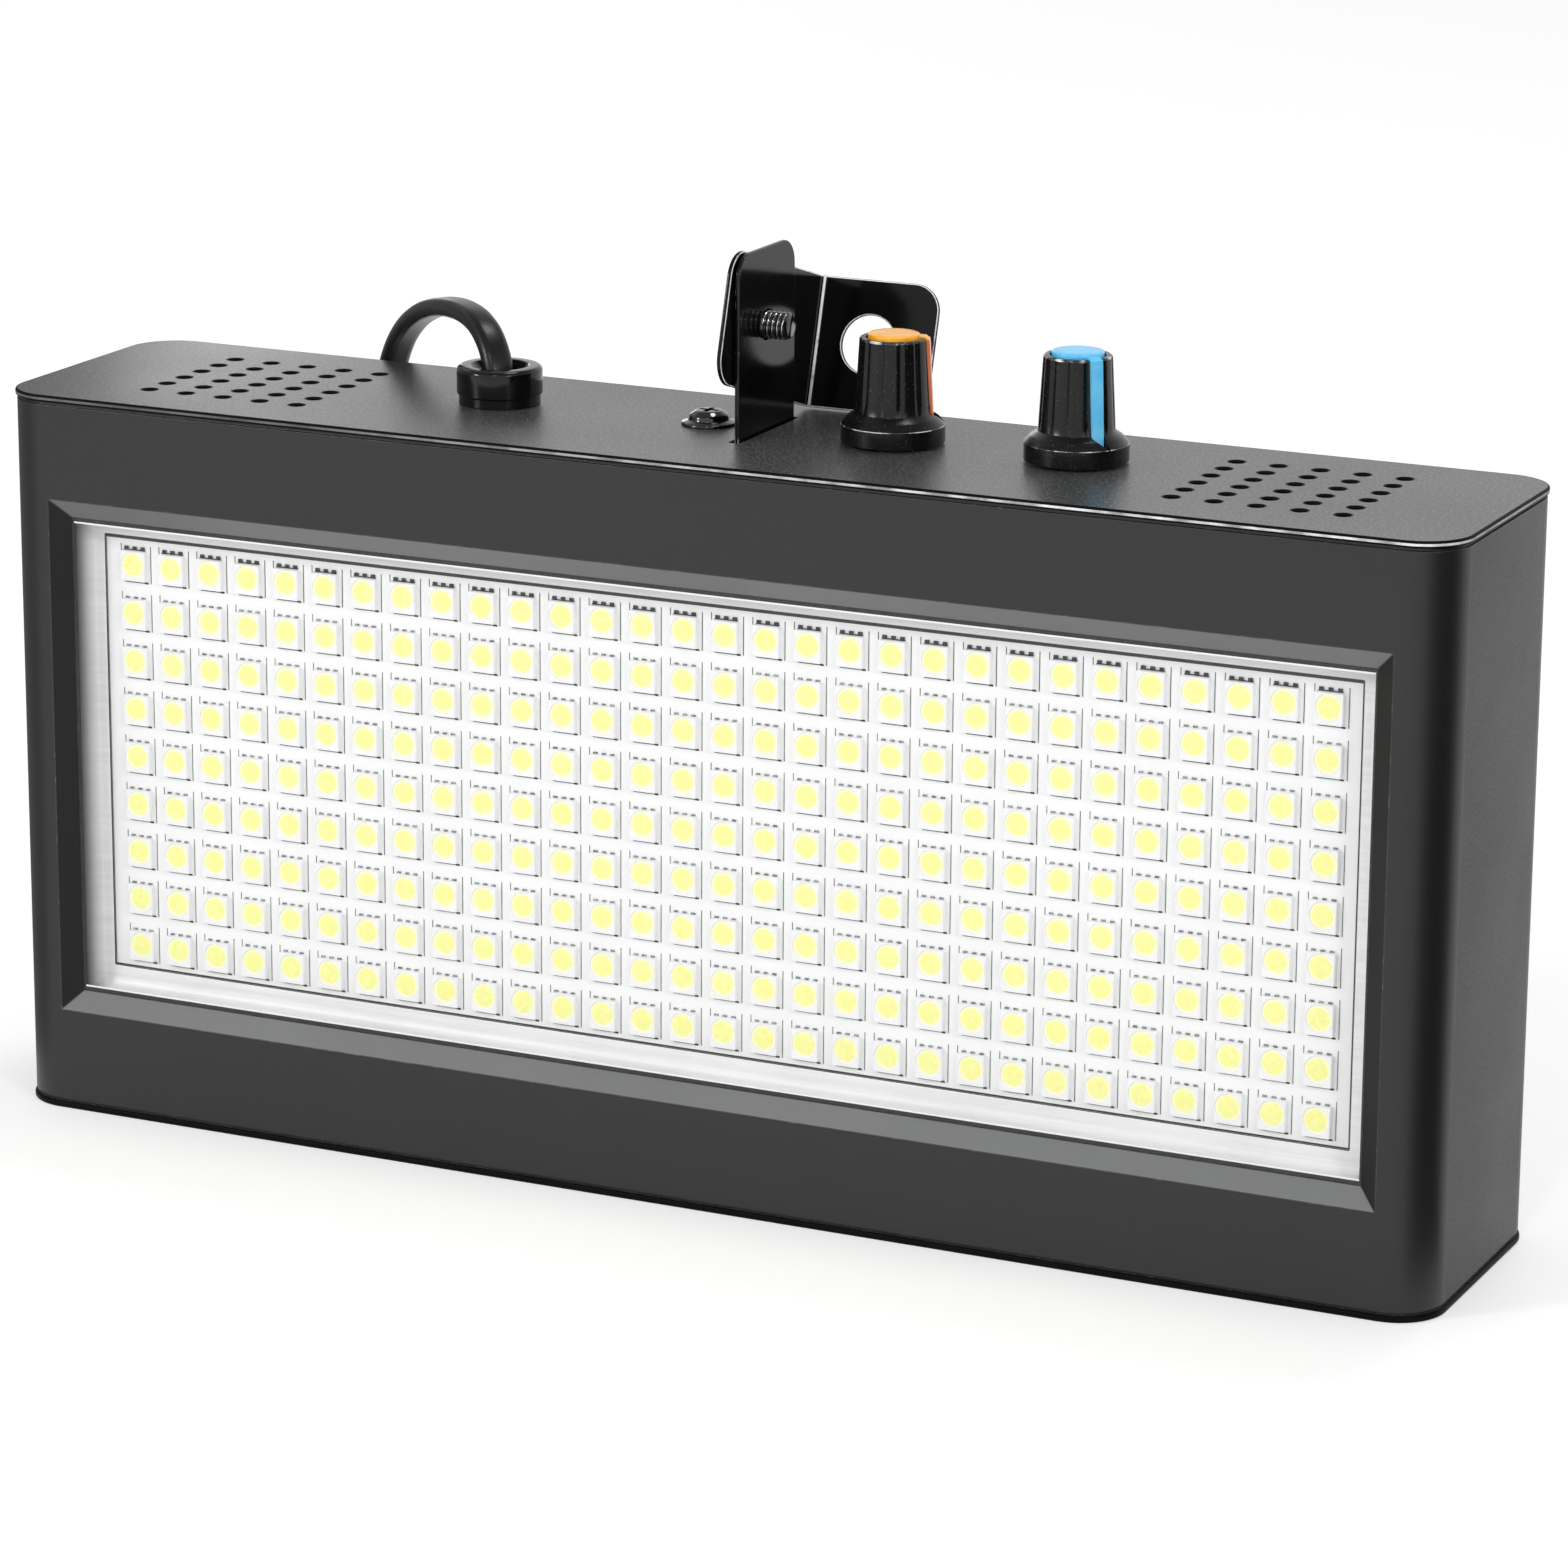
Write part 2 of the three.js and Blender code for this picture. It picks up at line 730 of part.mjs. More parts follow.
function earScrew() {
  const flangeTop = earScrewFlangeHeight;
  const domeTop = flangeTop + earScrewDomeHeight;
  const domeEdge = earScrewDomeHeight / 2;
  const screw = turned([
    [0, -earScrewLength],
    [earScrewRadius, -earScrewLength],
    [earScrewRadius, 0],
    [earScrewFlangeRadius, 0],
    [earScrewFlangeRadius, flangeTop / 2],
    [earScrewDomeRadius, flangeTop],
    [earScrewDomeRadius, flangeTop + domeEdge / 2],
    [earScrewDomeRadius - domeEdge, domeTop],
    [0, domeTop],
  ]);
  return screw.translate([earScrewX, fittingsY, plateTop]);
}

// Bolt along X, drawn along Z with its seat at zero and the head below
function pivotBolt() {
  const reach = earRightX + pivotStub - washerLeftX;
  const smooth = earRightX - washerLeftX + pivotThreadPitch;
  const root = pivotThreadRadius - pivotThreadDepth;
  const profile = [
    [0, -pivotHeadHeight],
    [pivotHeadRadius - pivotHeadEdge, -pivotHeadHeight],
    [pivotHeadRadius, -pivotHeadHeight + pivotHeadEdge],
    [pivotHeadRadius, 0],
    [pivotThreadRadius, 0],
    [pivotThreadRadius, smooth - pivotThreadPitch],
  ];
  const turns = Math.floor((reach - smooth) / pivotThreadPitch);
  for (let turn = 0; turn < turns; turn += 1) {
    const z = smooth + turn * pivotThreadPitch;
    profile.push([root, z], [pivotThreadRadius, z + pivotThreadPitch / 2]);
  }
  profile.push([root, reach], [0, reach]);
  return turned(profile, smallSteps).rotate([0, 90, 0]).translate([washerLeftX, fittingsY, pivotZ]);
}

function pivotWasher() {
  const outer = circle(washerRadius, fittingsY, pivotZ, smallSteps);
  const inner = circle(pivotThreadRadius + clearance, fittingsY, pivotZ, smallSteps);
  const ring = prismRight(outer, washerLeftX, washerRightX);
  return cut(ring, [prismRight(inner, washerLeftX - overrun, washerRightX + overrun)]);
}

addPart('ear_bracket', earBracket(), glossBlack);
addPart('ear_screw', earScrew(), glossBlack);
addPart('pivot_bolt', pivotBolt(), glossBlack);
addPart('pivot_washer', pivotWasher(), glossBlack);

// Hanging bracket, drawn upright about its pivot: local Y runs along the leg, local Z across it
function swingBracket() {
  const outerBend = bracketBendRadius + sheetThickness;
  const foldBack = bracketFoldReach + sheetThickness;
  const farX = legRightX + bracketFlangeReach;
  const profile = new THREE.Shape();
  profile.moveTo(legLeftX, -bracketFrontReach);
  profile.lineTo(legRightX, -bracketFrontReach);
  profile.lineTo(legRightX, bracketFoldReach - bracketBendRadius);
  profile.absarc(
    legRightX + bracketBendRadius,
    bracketFoldReach - bracketBendRadius,
    bracketBendRadius,
    Math.PI,
    Math.PI / 2,
    true,
  );
  profile.lineTo(farX, bracketFoldReach);
  profile.lineTo(farX, foldBack);
  profile.lineTo(legLeftX + outerBend, foldBack);
  profile.absarc(
    legLeftX + outerBend,
    foldBack - outerBend,
    outerBend,
    Math.PI / 2,
    Math.PI,
  );
  profile.closePath();
  const half = bracketWidth / 2;
  const strip = prismUp(profile, -half, half);
  const cutter = cornerCutter(bracketCornerRadius, sheetThickness + 2 * overrun);
  const legX = (legLeftX + legRightX) / 2;
  const flangeY = bracketFoldReach + sheetThickness / 2;
  const cuts = [];
  for (const up of [-1, 1]) {
    const toLeg = new THREE.Matrix4().makeBasis(
      new THREE.Vector3(0, 1, 0),
      new THREE.Vector3(0, 0, -up),
      new THREE.Vector3(-up, 0, 0),
    );
    const toFlange = new THREE.Matrix4().makeBasis(
      new THREE.Vector3(-1, 0, 0),
      new THREE.Vector3(0, 0, -up),
      new THREE.Vector3(0, -up, 0),
    );
    const legCut = cutter.clone().applyMatrix4(toLeg);
    cuts.push(toSolid(legCut.translate(legX, -bracketFrontReach, up * half)));
    const flangeCut = cutter.clone().applyMatrix4(toFlange);
    cuts.push(toSolid(flangeCut.translate(farX, flangeY, up * half)));
  }
  const pivotHole = circle(pivotThreadRadius + clearance, 0, 0, smallSteps);
  const fixingHole = circle(bracketHoleRadius, legRightX + bracketHoleX, 0, roundSteps);
  cuts.push(prismRight(pivotHole, legLeftX - overrun, legRightX + overrun));
  cuts.push(prismBack(fixingHole, bracketFoldReach - overrun, foldBack + overrun));
  return cut(strip, cuts);
}

const bracketPivot = new THREE.Group();
bracketPivot.position.set(0, fittingsY, pivotZ);
bracketPivot.rotation.x = THREE.MathUtils.degToRad(-bracketLeanDegrees);
light.add(bracketPivot);
addPart('swing_bracket', swingBracket(), glossBlack, bracketPivot);

// Knob, drawn about its shaft with heights above the top plate and its pointer towards +X
function knobOutline() {
  return [
    [knobCollarRadius, knobLift],
    [knobCollarRadius, knobCollarHeight],
    [
      (knobCollarRadius + knobShoulderRadius) / 2,
      (knobCollarHeight + knobShoulderHeight) / 2 + knobCollarDome,
    ],
    [knobShoulderRadius, knobShoulderHeight],
    [knobFootRadius, knobFootHeight],
    [knobTopRadius, knobHeight - knobEdge],
    [knobTopRadius - knobEdge, knobHeight],
  ];
}

// The pointer's side view: a bar over the top, down the side and out along the collar
function pointerSide(inward, outward) {
  const hub = capRadius / 2;
  return polygon([
    [hub, knobHeight - inward],
    [knobTopRadius - inward, knobHeight - inward],
    [knobFootRadius - inward, knobFootHeight - inward],
    [pointerTipRadius, knobShoulderHeight - inward],
    [pointerTipRadius, knobShoulderHeight],
    [knobFootRadius + outward, knobFootHeight + outward],
    [knobTopRadius + outward, knobHeight - knobEdge],
    [knobTopRadius, knobHeight + outward],
    [hub, knobHeight + outward],
  ].reverse());
}

function knobBody() {
  const skirtTop = bushingRise + clearance;
  const seat = knobHeight - capSeatDepth;
  const bore = shaftRadius + clearance;
  const body = turned([
    [bore, skirtTop],
    [knobHubRadius, skirtTop],
    [knobSkirtRadius, knobSkirtHeight],
    [knobSkirtRadius, knobLift],
    ...knobOutline(),
    [capRadius + clearance, knobHeight],
    [capRadius + clearance, seat],
    [0, seat],
    [0, shaftRise + clearance],
    [bore, shaftRise + clearance],
    [bore, skirtTop],
  ]);
  const half = pointerWidth / 2 + clearance;
  const groove = prismBack(pointerSide(pointerThickness + clearance, overrun), -half, half);
  return cut(body, [groove]);
}

function knobCap() {
  const base = knobHeight - capSeatDepth + clearance;
  const edge = knobHeight + pointerProud;
  const disc = turned([
    [0, base],
    [capRadius, base],
    [capRadius, edge],
    [capRadius - capDome, (edge + knobHeight + capDome) / 2],
    [capRadius / 2, knobHeight + capDome],
    [0, knobHeight + capDome],
  ]);
  const half = pointerWidth / 2;
  return joined([disc, prismBack(pointerSide(pointerThickness, pointerProud), -half, half)]);
}

function knobShaft() {
  const bottom = -plateThickness - potDepth + potFloor + clearance;
  const neckTop = bushingRise + clearance;
  return turned([
    [0, bottom],
    [shaftNeckRadius, bottom],
    [shaftNeckRadius, neckTop],
    [shaftRadius, neckTop],
    [shaftRadius, shaftRise],
    [0, shaftRise],
  ], smallSteps);
}

function potBody() {
  const under = -plateThickness;
  const bore = shaftNeckRadius + clearance;
  const floor = under - potDepth + potFloor;
  return turned([
    [0, under - potDepth],
    [potRadius, under - potDepth],
    [potRadius, under],
    [bushingRadius, under],
    [bushingRadius, bushingRise],
    [bore, bushingRise],
    [bore, floor],
    [0, floor],
  ], smallSteps);
}

function potNut() {
  const hexagon = circle(potNutRadius, 0, 0, hexagonSides);
  const hole = circle(bushingRadius + clearance, 0, 0, smallSteps);
  return cut(prismUp(hexagon, 0, potNutHeight), [prismUp(hole, -overrun, potNutHeight + overrun)]);
}

function addControl(name, x, pointerDegrees, capFinish) {
  const place = [x, fittingsY, plateTop];
  addPart(`${name}_pot`, potBody().translate(place), blackPlastic);
  addPart(`${name}_pot_nut`, potNut().translate(place), steel);
  const knob = new THREE.Group();
  knob.position.set(...place);
  knob.rotation.z = THREE.MathUtils.degToRad(pointerDegrees);
  light.add(knob);
  addPart(`${name}_shaft`, knobShaft(), steel, knob);
  addPart(`${name}_knob`, knobBody(), blackPlastic, knob);
  addPart(`${name}_knob_cap`, knobCap(), capFinish, knob);
}

addControl('speed', speedKnobX, speedPointerDegrees, orange);
addControl('mode', modeKnobX, modePointerDegrees, blue);

// Grommet: a stem through the top plate, a neck and a ring with a flared mouth
function grommet() {
  const ringTop = grommetNeckHeight + grommetRingHeight;
  return turned([
    [grommetBore, -grommetStemLength],
    [grommetStemRadius, -grommetStemLength],
    [grommetStemRadius, 0],
    [grommetNeckRadius, 0],
    [grommetNeckRadius, grommetNeckHeight],
    [grommetRingRadius, grommetNeckHeight],
    [grommetRingRadius, ringTop - grommetRingEdge],
    [grommetRingRadius - grommetRingEdge, ringTop],
    [grommetMouth, ringTop],
    [grommetBore, grommetNeckHeight],
    [grommetBore, -grommetStemLength],
  ]).translate([grommetX, fittingsY, plateTop]);
}

function grommetNut() {
  const z1 = plateUnder;
  const z0 = plateUnder - grommetNutHeight;
  const outer = circle(grommetNutRadius, grommetX, fittingsY, roundSteps);
  const inner = circle(grommetStemRadius + clearance, grommetX, fittingsY, roundSteps);
  return cut(prismUp(outer, z0, z1), [prismUp(inner, z0 - overrun, z1 + overrun)]);
}

addPart('grommet', grommet(), glossBlack);
addPart('grommet_nut', grommetNut(), blackPlastic);

const cordCore = cordWidth - cordThickness;

// Cord section: flat, with round sides. Its long side lies along the shape's x when unturned.
function cordSection(turn) {
  const radius = cordThickness / 2;
  const points = [];
  for (const side of [1, -1]) {
    for (let i = 0; i <= sectionCornerSteps; i += 1) {
      const angle = (i / sectionCornerSteps - 0.5) * Math.PI;
      const x = side * (cordCore / 2 + radius * Math.cos(angle));
      const y = side * radius * Math.sin(angle);
      points.push([
        x * Math.cos(turn) - y * Math.sin(turn),
        x * Math.sin(turn) + y * Math.cos(turn),
      ]);
    }
  }
  return polygon(points);
}

function sweep(points, section, steps) {
  const extrudePath = new THREE.CatmullRomCurve3(points, false, 'centripetal');
  return toSolid(new THREE.ExtrudeGeometry(section, { steps, bevelEnabled: false, extrudePath }));
}

// Where the cord goes, from inside the grommet over the back edge and down to the floor.
// These points follow no other size.
const archReachX = -0.78;
const archReachY = 0.62;
const archRoute = [
  [0, 2], [0.2, 4.2], [1.1, 6.7], [2.9, 9.2], [5.6, 11.3], [9.3, 12.7], [14, 13.3],
  [20, 13.1], [26.5, 12], [33, 9.9], [38.8, 6.9], [43.6, 3], [47.2, -1.8], [49.8, -8], [51, -16],
];
const dropRoute = [
  [-90.3, 35.3, 98], [-90.4, 35.5, 80], [-90.5, 35.8, 62], [-90.3, 36.2, 46],
  [-89.2, 36.8, 31], [-86.2, 37.4, 18.5], [-80.6, 37.9, 9.4], [-73, 38.3, 4.9], [-65.5, 38.5, 4],
];
const coilEntryX = coilX - cordWidth;
const coilLowZ = tieThickness + clearance + cordWidth / 2;
const turnPitch = cordThickness + coilTurnGap;
const coilHighZ = coilLowZ + cordWidth + coilLayerGap;
const coilExitX = coilX + cordWidth;
const coilY = coilFrontY + coilRadius;

function freeCord() {
  const points = archRoute.map(([along, rise]) => [
    grommetX + along * archReachX,
    fittingsY + along * archReachY,
    plateTop + rise,
  ]);
  points.push(...dropRoute, [coilEntryX - clearance, coilFrontY, coilLowZ]);
  const places = points.map((point) => new THREE.Vector3(...point));
  const turn = Math.atan2(archReachY, archReachX);
  return sweep(places, cordSection(turn), cordSteps);
}

// The stored length: a spiral in, a climb of one layer, and a spiral out above it
function coilPoint(turnsRound) {
  const inwards = Math.min(turnsRound, coilTurns - turnsRound);
  const radius = coilRadius - inwards * turnPitch;
  const climbStart = (coilTurns - climbTurns) / 2;
  const climb = THREE.MathUtils.smoothstep(turnsRound, climbStart, climbStart + climbTurns);
  const angle = 2 * Math.PI * turnsRound - Math.PI / 2;
  return [
    coilX + radius * Math.cos(angle),
    coilY + radius * Math.sin(angle),
    THREE.MathUtils.lerp(coilLowZ, coilHighZ, climb),
  ];
}

function coilPoints() {
  const points = [[coilEntryX, coilFrontY, coilLowZ]];
  const count = coilTurns * coilStepsPerTurn;
  for (let i = 0; i <= count; i += 1) {
    points.push(coilPoint(i / coilStepsPerTurn));
  }
  points.push([coilExitX, coilFrontY, coilHighZ]);
  return points;
}

// The least gap between two stretches of the coil that are not next to each other
function coilGap(points) {
  let least = Infinity;
  for (let i = 0; i < points.length; i += 1) {
    for (let j = i + coilStepsPerTurn / 2; j < points.length; j += 1) {
      const flat = Math.hypot(points[i][0] - points[j][0], points[i][1] - points[j][1]);
      const up = Math.max(0, Math.abs(points[i][2] - points[j][2]) - cordCore);
      least = Math.min(least, Math.hypot(flat, up) - cordThickness);
    }
  }
  return least;
}

// A section stands on end in the coil: six corners, long side up
function coilSection() {
  const side = cordThickness / 2;
  const flank = cordCore / 2 + side * coilFlankShare;
  const end = cordWidth / 2;
  return polygon([[end, 0], [flank, side], [-flank, side], [-end, 0], [-flank, -side], [flank, -side]]);
}

// Rings of the section along the points, each square to the path with its long side up
function uprightTube(points, section) {
  const corners = section.getPoints();
  const positions = [];
  const index = [];
  points.forEach((point, i) => {
    const before = points[Math.max(i - 1, 0)];
    const after = points[Math.min(i + 1, points.length - 1)];
    const along = new THREE.Vector3(after[0] - before[0], after[1] - before[1], 0).normalize();
    const outward = new THREE.Vector3(along.y, -along.x, 0);
    corners.forEach(({ x, y }) => {
      positions.push(point[0] + outward.x * y, point[1] + outward.y * y, point[2] + x);
    });
  });
  const count = corners.length;
  for (let ring = 0; ring < points.length - 1; ring += 1) {
    for (let k = 0; k < count; k += 1) {
      const a = ring * count + k;
      const b = ring * count + ((k + 1) % count);
      index.push(a, b, a + count, b, b + count, a + count);
    }
  }
  const last = (points.length - 1) * count;
  for (let k = 1; k < count - 1; k += 1) {
    index.push(0, k + 1, k);
    index.push(last, last + k, last + k + 1);
  }
  const geometry = new THREE.BufferGeometry();
  geometry.setAttribute('position', new THREE.Float32BufferAttribute(positions, 3));
  geometry.setIndex(index);
  return toSolid(geometry);
}

function cordTail() {
  const level = plugHeight / 2;
  const section = coilSection();
  const reach = plugX - clearance - coilExitX;
  const points = [];
  for (let i = 0; i <= tailSteps; i += 1) {
    const share = i / tailSteps;
    points.push([
      coilExitX + clearance + share * (reach - clearance),
      coilFrontY,
      THREE.MathUtils.lerp(coilHighZ, level, THREE.MathUtils.smoothstep(share, 0, 1)),
    ]);
  }
  return uprightTube(points, section);
}

function cordTie() {
  const room = cordThickness / 2 + tieRoom;
  const inner = coilRadius - (coilTurns / 2) * turnPitch - room;
  const outer = coilRadius - turnPitch / 2 + room;
  const low = tieThickness;
  const high = coilHighZ + cordWidth / 2 + clearance;
  const hole = box([coilX - tieWidth, coilX + tieWidth], [coilY + inner, coilY + outer], [low, high]);
  const band = box(
    [coilX - tieWidth / 2, coilX + tieWidth / 2],
    [coilY + inner - tieThickness, coilY + outer + tieThickness],
    [low - tieThickness, high + tieThickness],
  );
  return cut(band, [hole]);
}

// The plug's strain relief, which narrows towards the cord
function plugNose(endX) {
  const level = plugHeight / 2;
  const outline = roundedRect(plugNoseWidth, plugNoseHeight, plugNoseWidth / 2, coilFrontY, level);
  const geometry = extrudedRight(outline, plugX, endX, cornerSteps);
  const position = geometry.attributes.position;
  for (let i = 0; i < position.count; i += 1) {
    const tip = position.getX(i) < (plugX + endX) / 2;
    const share = tip ? plugNoseTipShare : 1;
    position.setY(i, THREE.MathUtils.lerp(coilFrontY, position.getY(i), share));
    position.setZ(i, THREE.MathUtils.lerp(level, position.getZ(i), share));
  }
  return toSolid(geometry);
}

// Plug, lying on the floor with its cord end towards -X
function plugBody() {
  const level = plugHeight / 2;
  const noseX = plugX + plugNoseLength;
  const outline = roundedRect(plugWidth, plugHeight, plugCornerRadius, coilFrontY, level);
  const block = prismRight(outline, noseX, plugX + plugLength);
  const nose = plugNose(noseX + overrun);
  const body = joined([block, nose]);
  return cut(body, bladeBoxes(clearance));
}

function bladeBoxes(room) {
  const level = plugHeight / 2;
  const seat = plugX + plugLength - bladeHeight;
  return [-1, 1].map((side) => {
    const y = coilFrontY + side * bladeSpacing / 2;
    return box(
      [seat - room, plugX + plugLength + bladeLength],
      [y - bladeThickness / 2 - room, y + bladeThickness / 2 + room],
      [level - bladeHeight / 2 - room, level + bladeHeight / 2 + room],
    );
  });
}

const coilCentres = coilPoints();
console.log(`least gap between the coil's turns: ${coilGap(coilCentres).toFixed(2)} mm`);
addPart('power_cord', freeCord(), cordBlack);
addPart('cord_coil', uprightTube(coilCentres, coilSection()), cordBlack);
addPart('cord_tail', cordTail(), cordBlack);
addPart('cord_tie', cordTie(), blackPlastic);
addPart('plug_body', plugBody(), blackPlastic);
bladeBoxes(0).forEach((blade, i) => addPart(`plug_blade_${i + 1}`, blade, brass));

// Electronics: a control board on standoffs behind the lamp board
function controlBoard() {
  return box(
    [controlBoardX - controlBoardWidth / 2, controlBoardX + controlBoardWidth / 2],
    [controlBoardFrontY, controlBoardBackY],
    [controlBoardZ - controlBoardHeight / 2, controlBoardZ + controlBoardHeight / 2],
  );
}

function capacitor() {
  const beadZ = capacitorBeadRise;
  return turned([
    [0, 0],
    [capacitorRadius, 0],
    [capacitorRadius, beadZ],
    [capacitorRadius - capacitorBead, beadZ + capacitorBead],
    [capacitorRadius, beadZ + 2 * capacitorBead],
    [capacitorRadius, capacitorLength],
    [0, capacitorLength],
  ]).rotate([90, 0, 0]).translate([
    controlBoardX + capacitorX,
    controlBoardFrontY,
    controlBoardZ + capacitorRise,
  ]);
}

function heatSink() {
  const points = [[-sinkWidth / 2, 0]];
  const pitch = (sinkWidth - sinkFinThickness) / (sinkFins - 1);
  for (let fin = 0; fin < sinkFins; fin += 1) {
    const x = -sinkWidth / 2 + fin * pitch;
    points.push([x, -sinkBase], [x, -sinkDepth], [x + sinkFinThickness, -sinkDepth]);
    points.push([x + sinkFinThickness, -sinkBase]);
  }
  points.splice(1, 1);
  points.pop();
  points.push([sinkWidth / 2, 0]);
  const bars = extruded(polygon(points.reverse()), sinkHeight, 1);
  const bottom = controlBoardZ + sinkRise - sinkHeight / 2;
  return toSolid(bars.translate(controlBoardX + sinkX, controlBoardFrontY, bottom));
}

function blockOnBoard(right, z, width, height, depth) {
  const x = controlBoardX + right;
  const y = [controlBoardFrontY - depth, controlBoardFrontY];
  return box([x - width / 2, x + width / 2], y, [z - height / 2, z + height / 2]);
}

// The lead inside the case, from the grommet down to the terminal block
function innerLead() {
  const top = new THREE.Vector3(grommetX, fittingsY, plateTop + grommetNeckHeight);
  const end = new THREE.Vector3(
    controlBoardX + terminalX,
    controlBoardFrontY - terminalDepth / 2,
    terminalZ + terminalHeight / 2 + clearance,
  );
  const start = new THREE.Vector3(grommetX, fittingsY, plateTop - leadDip);
  const finish = new THREE.Vector3(end.x, end.y, end.z + leadEnd);
  const places = [top, start];
  for (let i = 1; i < leadPlaces; i += 1) {
    const share = i / leadPlaces;
    const sideways = THREE.MathUtils.smoothstep(share, 0, 1);
    const place = start.clone().lerp(finish, sideways);
    place.z = THREE.MathUtils.lerp(start.z, finish.z, share);
    places.push(place);
  }
  places.push(finish, end);
  return sweep(places, cordSection(Math.PI / 2), leadSteps);
}

addPart('control_board', controlBoard(), greenBoard);
const standoffX = controlBoardWidth / 2 - standoffInset;
const standoffZ = controlBoardHeight / 2 - standoffInset;
[[-1, 1], [1, 1], [-1, -1], [1, -1]].forEach(([sideX, sideZ], i) => {
  const x = controlBoardX + sideX * standoffX;
  const z = controlBoardZ + sideZ * standoffZ;
  const post = circle(standoffRadius, x, z, hexagonSides);
  addPart(`board_standoff_${i + 1}`, prismBack(post, controlBoardBackY, coverInnerY), nylon);
});
addPart('smoothing_capacitor', capacitor(), blackPlastic);
addPart('driver_chip', blockOnBoard(
  chipX, controlBoardZ - chipDrop, chipWidth, chipHeight, chipThickness,
), blackPlastic);
addPart('heat_sink', heatSink(), steel);
addPart('terminal_block', blockOnBoard(
  terminalX, terminalZ, terminalWidth, terminalHeight, terminalDepth,
), nylon);
addPart('inner_lead', innerLead(), cordBlack);

export default light;
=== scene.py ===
"""Looks of the strobe light. The geometry code is in millimetres and add_piece turns it into metres."""
import math

import bmesh
import bpy
from mathutils import Matrix, Vector
from mathutils.geometry import tessellate_polygon


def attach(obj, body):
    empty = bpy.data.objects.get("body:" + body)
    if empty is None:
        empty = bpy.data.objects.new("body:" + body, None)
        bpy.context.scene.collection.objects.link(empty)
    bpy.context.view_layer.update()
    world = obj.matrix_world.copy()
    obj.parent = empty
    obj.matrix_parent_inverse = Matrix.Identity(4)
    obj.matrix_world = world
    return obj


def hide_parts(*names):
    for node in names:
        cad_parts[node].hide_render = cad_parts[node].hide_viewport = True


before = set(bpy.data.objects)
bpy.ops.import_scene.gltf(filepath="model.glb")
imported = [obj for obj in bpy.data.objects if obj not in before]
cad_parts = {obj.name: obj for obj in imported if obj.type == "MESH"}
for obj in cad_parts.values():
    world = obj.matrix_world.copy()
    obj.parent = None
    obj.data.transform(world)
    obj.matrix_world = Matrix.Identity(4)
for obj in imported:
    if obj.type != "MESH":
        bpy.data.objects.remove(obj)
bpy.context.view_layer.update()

# Camera, in metres and degrees
CAMERA_PLACE = (0.415814, -0.881706, 0.336809)
CAMERA_TURN = (74.5922, -0.3459, 25.0475)
CAMERA_LENS = 136.086
CAMERA_SENSOR = 36

# All other lengths are in millimetres. Below LEAST a length counts as nothing.
MM = 0.001
LEAST = 1e-4
CORNER_STEPS = 12
EDGE_STEPS = 4
ROUND_STEPS = 96
SMALL_STEPS = 40
QUARTER = math.pi / 2

# Case
CASE_WIDTH = 265.5
CASE_DEPTH = 54.0
CASE_HEIGHT = 129.2
CASE_RADIUS = 8.8
PLATE = 1.2
OVERHANG = 0.3
LIP_HEIGHT = 3.0
LIP_WALL = 1.2
GROOVE = 0.5
SHELL_WALL = 2.2
FRONT_WALL = 2.4
MIDDLE_Z = CASE_HEIGHT / 2
TOP_Z = CASE_HEIGHT
PLATE_UNDER = CASE_HEIGHT - PLATE
SHELL_Y = CASE_DEPTH / 2 - OVERHANG
CAVITY_FRONT = -SHELL_Y + FRONT_WALL
COVER_THICKNESS = 1.5
COVER_INNER = SHELL_Y - COVER_THICKNESS
LEDGE = 2.2
CAVITY_BACK = COVER_INNER - LEDGE
CAVITY_HALF = CASE_WIDTH / 2 - OVERHANG - SHELL_WALL
CAVITY_RADIUS = CASE_RADIUS - OVERHANG - SHELL_WALL
CAVITY_DEPTH = CAVITY_BACK - CAVITY_FRONT
CAVITY_MIDDLE = (0.0, (CAVITY_BACK + CAVITY_FRONT) / 2)
LIP_PLAY = 0.3
WINDOW_WIDTH = 246.0
WINDOW_HEIGHT = 92.6
BEVEL = 3.4
INNER_WIDTH = WINDOW_WIDTH - 2 * BEVEL
INNER_HEIGHT = WINDOW_HEIGHT - 2 * BEVEL
VENT_X = 94.9125
VENT_Y = 0.5
VENT_PITCH = (7.3, 5.9)
VENT_RADIUS = 1.25
SEAT_SIZE = (240.6, 116.6)
REAR_OPENING = (224.0, 100.0)
COVER_SIZE = (240.0, 116.0)
COVER_SLOT = (34.0, 2.4)
COVER_SLOT_X = 80.0
COVER_SLOT_PITCH = 6.0
REAR_SCREW_XS = (-116, 0, 116)
REAR_SCREW_RISE = 54
REAR_SCREW_HOLE = 1.5

# Window sheet, tray and board
LENS_SIZE = (245.0, 91.6)
# WINDOW_LINE and WINDOW_SIDE_LINE are the widths of a black strip of painted shade round the window, GLEAM
# that of a white strip of painted highlight
WINDOW_LINE = 0.7
WINDOW_SIDE_LINE = 0.3
GLEAM = 0.28
TRAY_FRONT = CAVITY_FRONT + 1.5
BOARD_FRONT = TRAY_FRONT + 3.6
BOARD_BACK = BOARD_FRONT + 1.6
BOARD_SIZE = (258.0, 84.0)
OPENING_SIZE = (232.0, 78.6)
OPENING_RISE = 0.3
POCKET_SIZE = (239.8, 86.4)
TRAY_FLOOR = 0.6
TRAY_WALL = 1.0
COVE = 2.4
TRAY_SHADE = 3.1
BOSS_X = 126.4
BOSS_Z = 36.0
BOSS_RADIUS = 2.6
BOARD_HOLE = 1.3
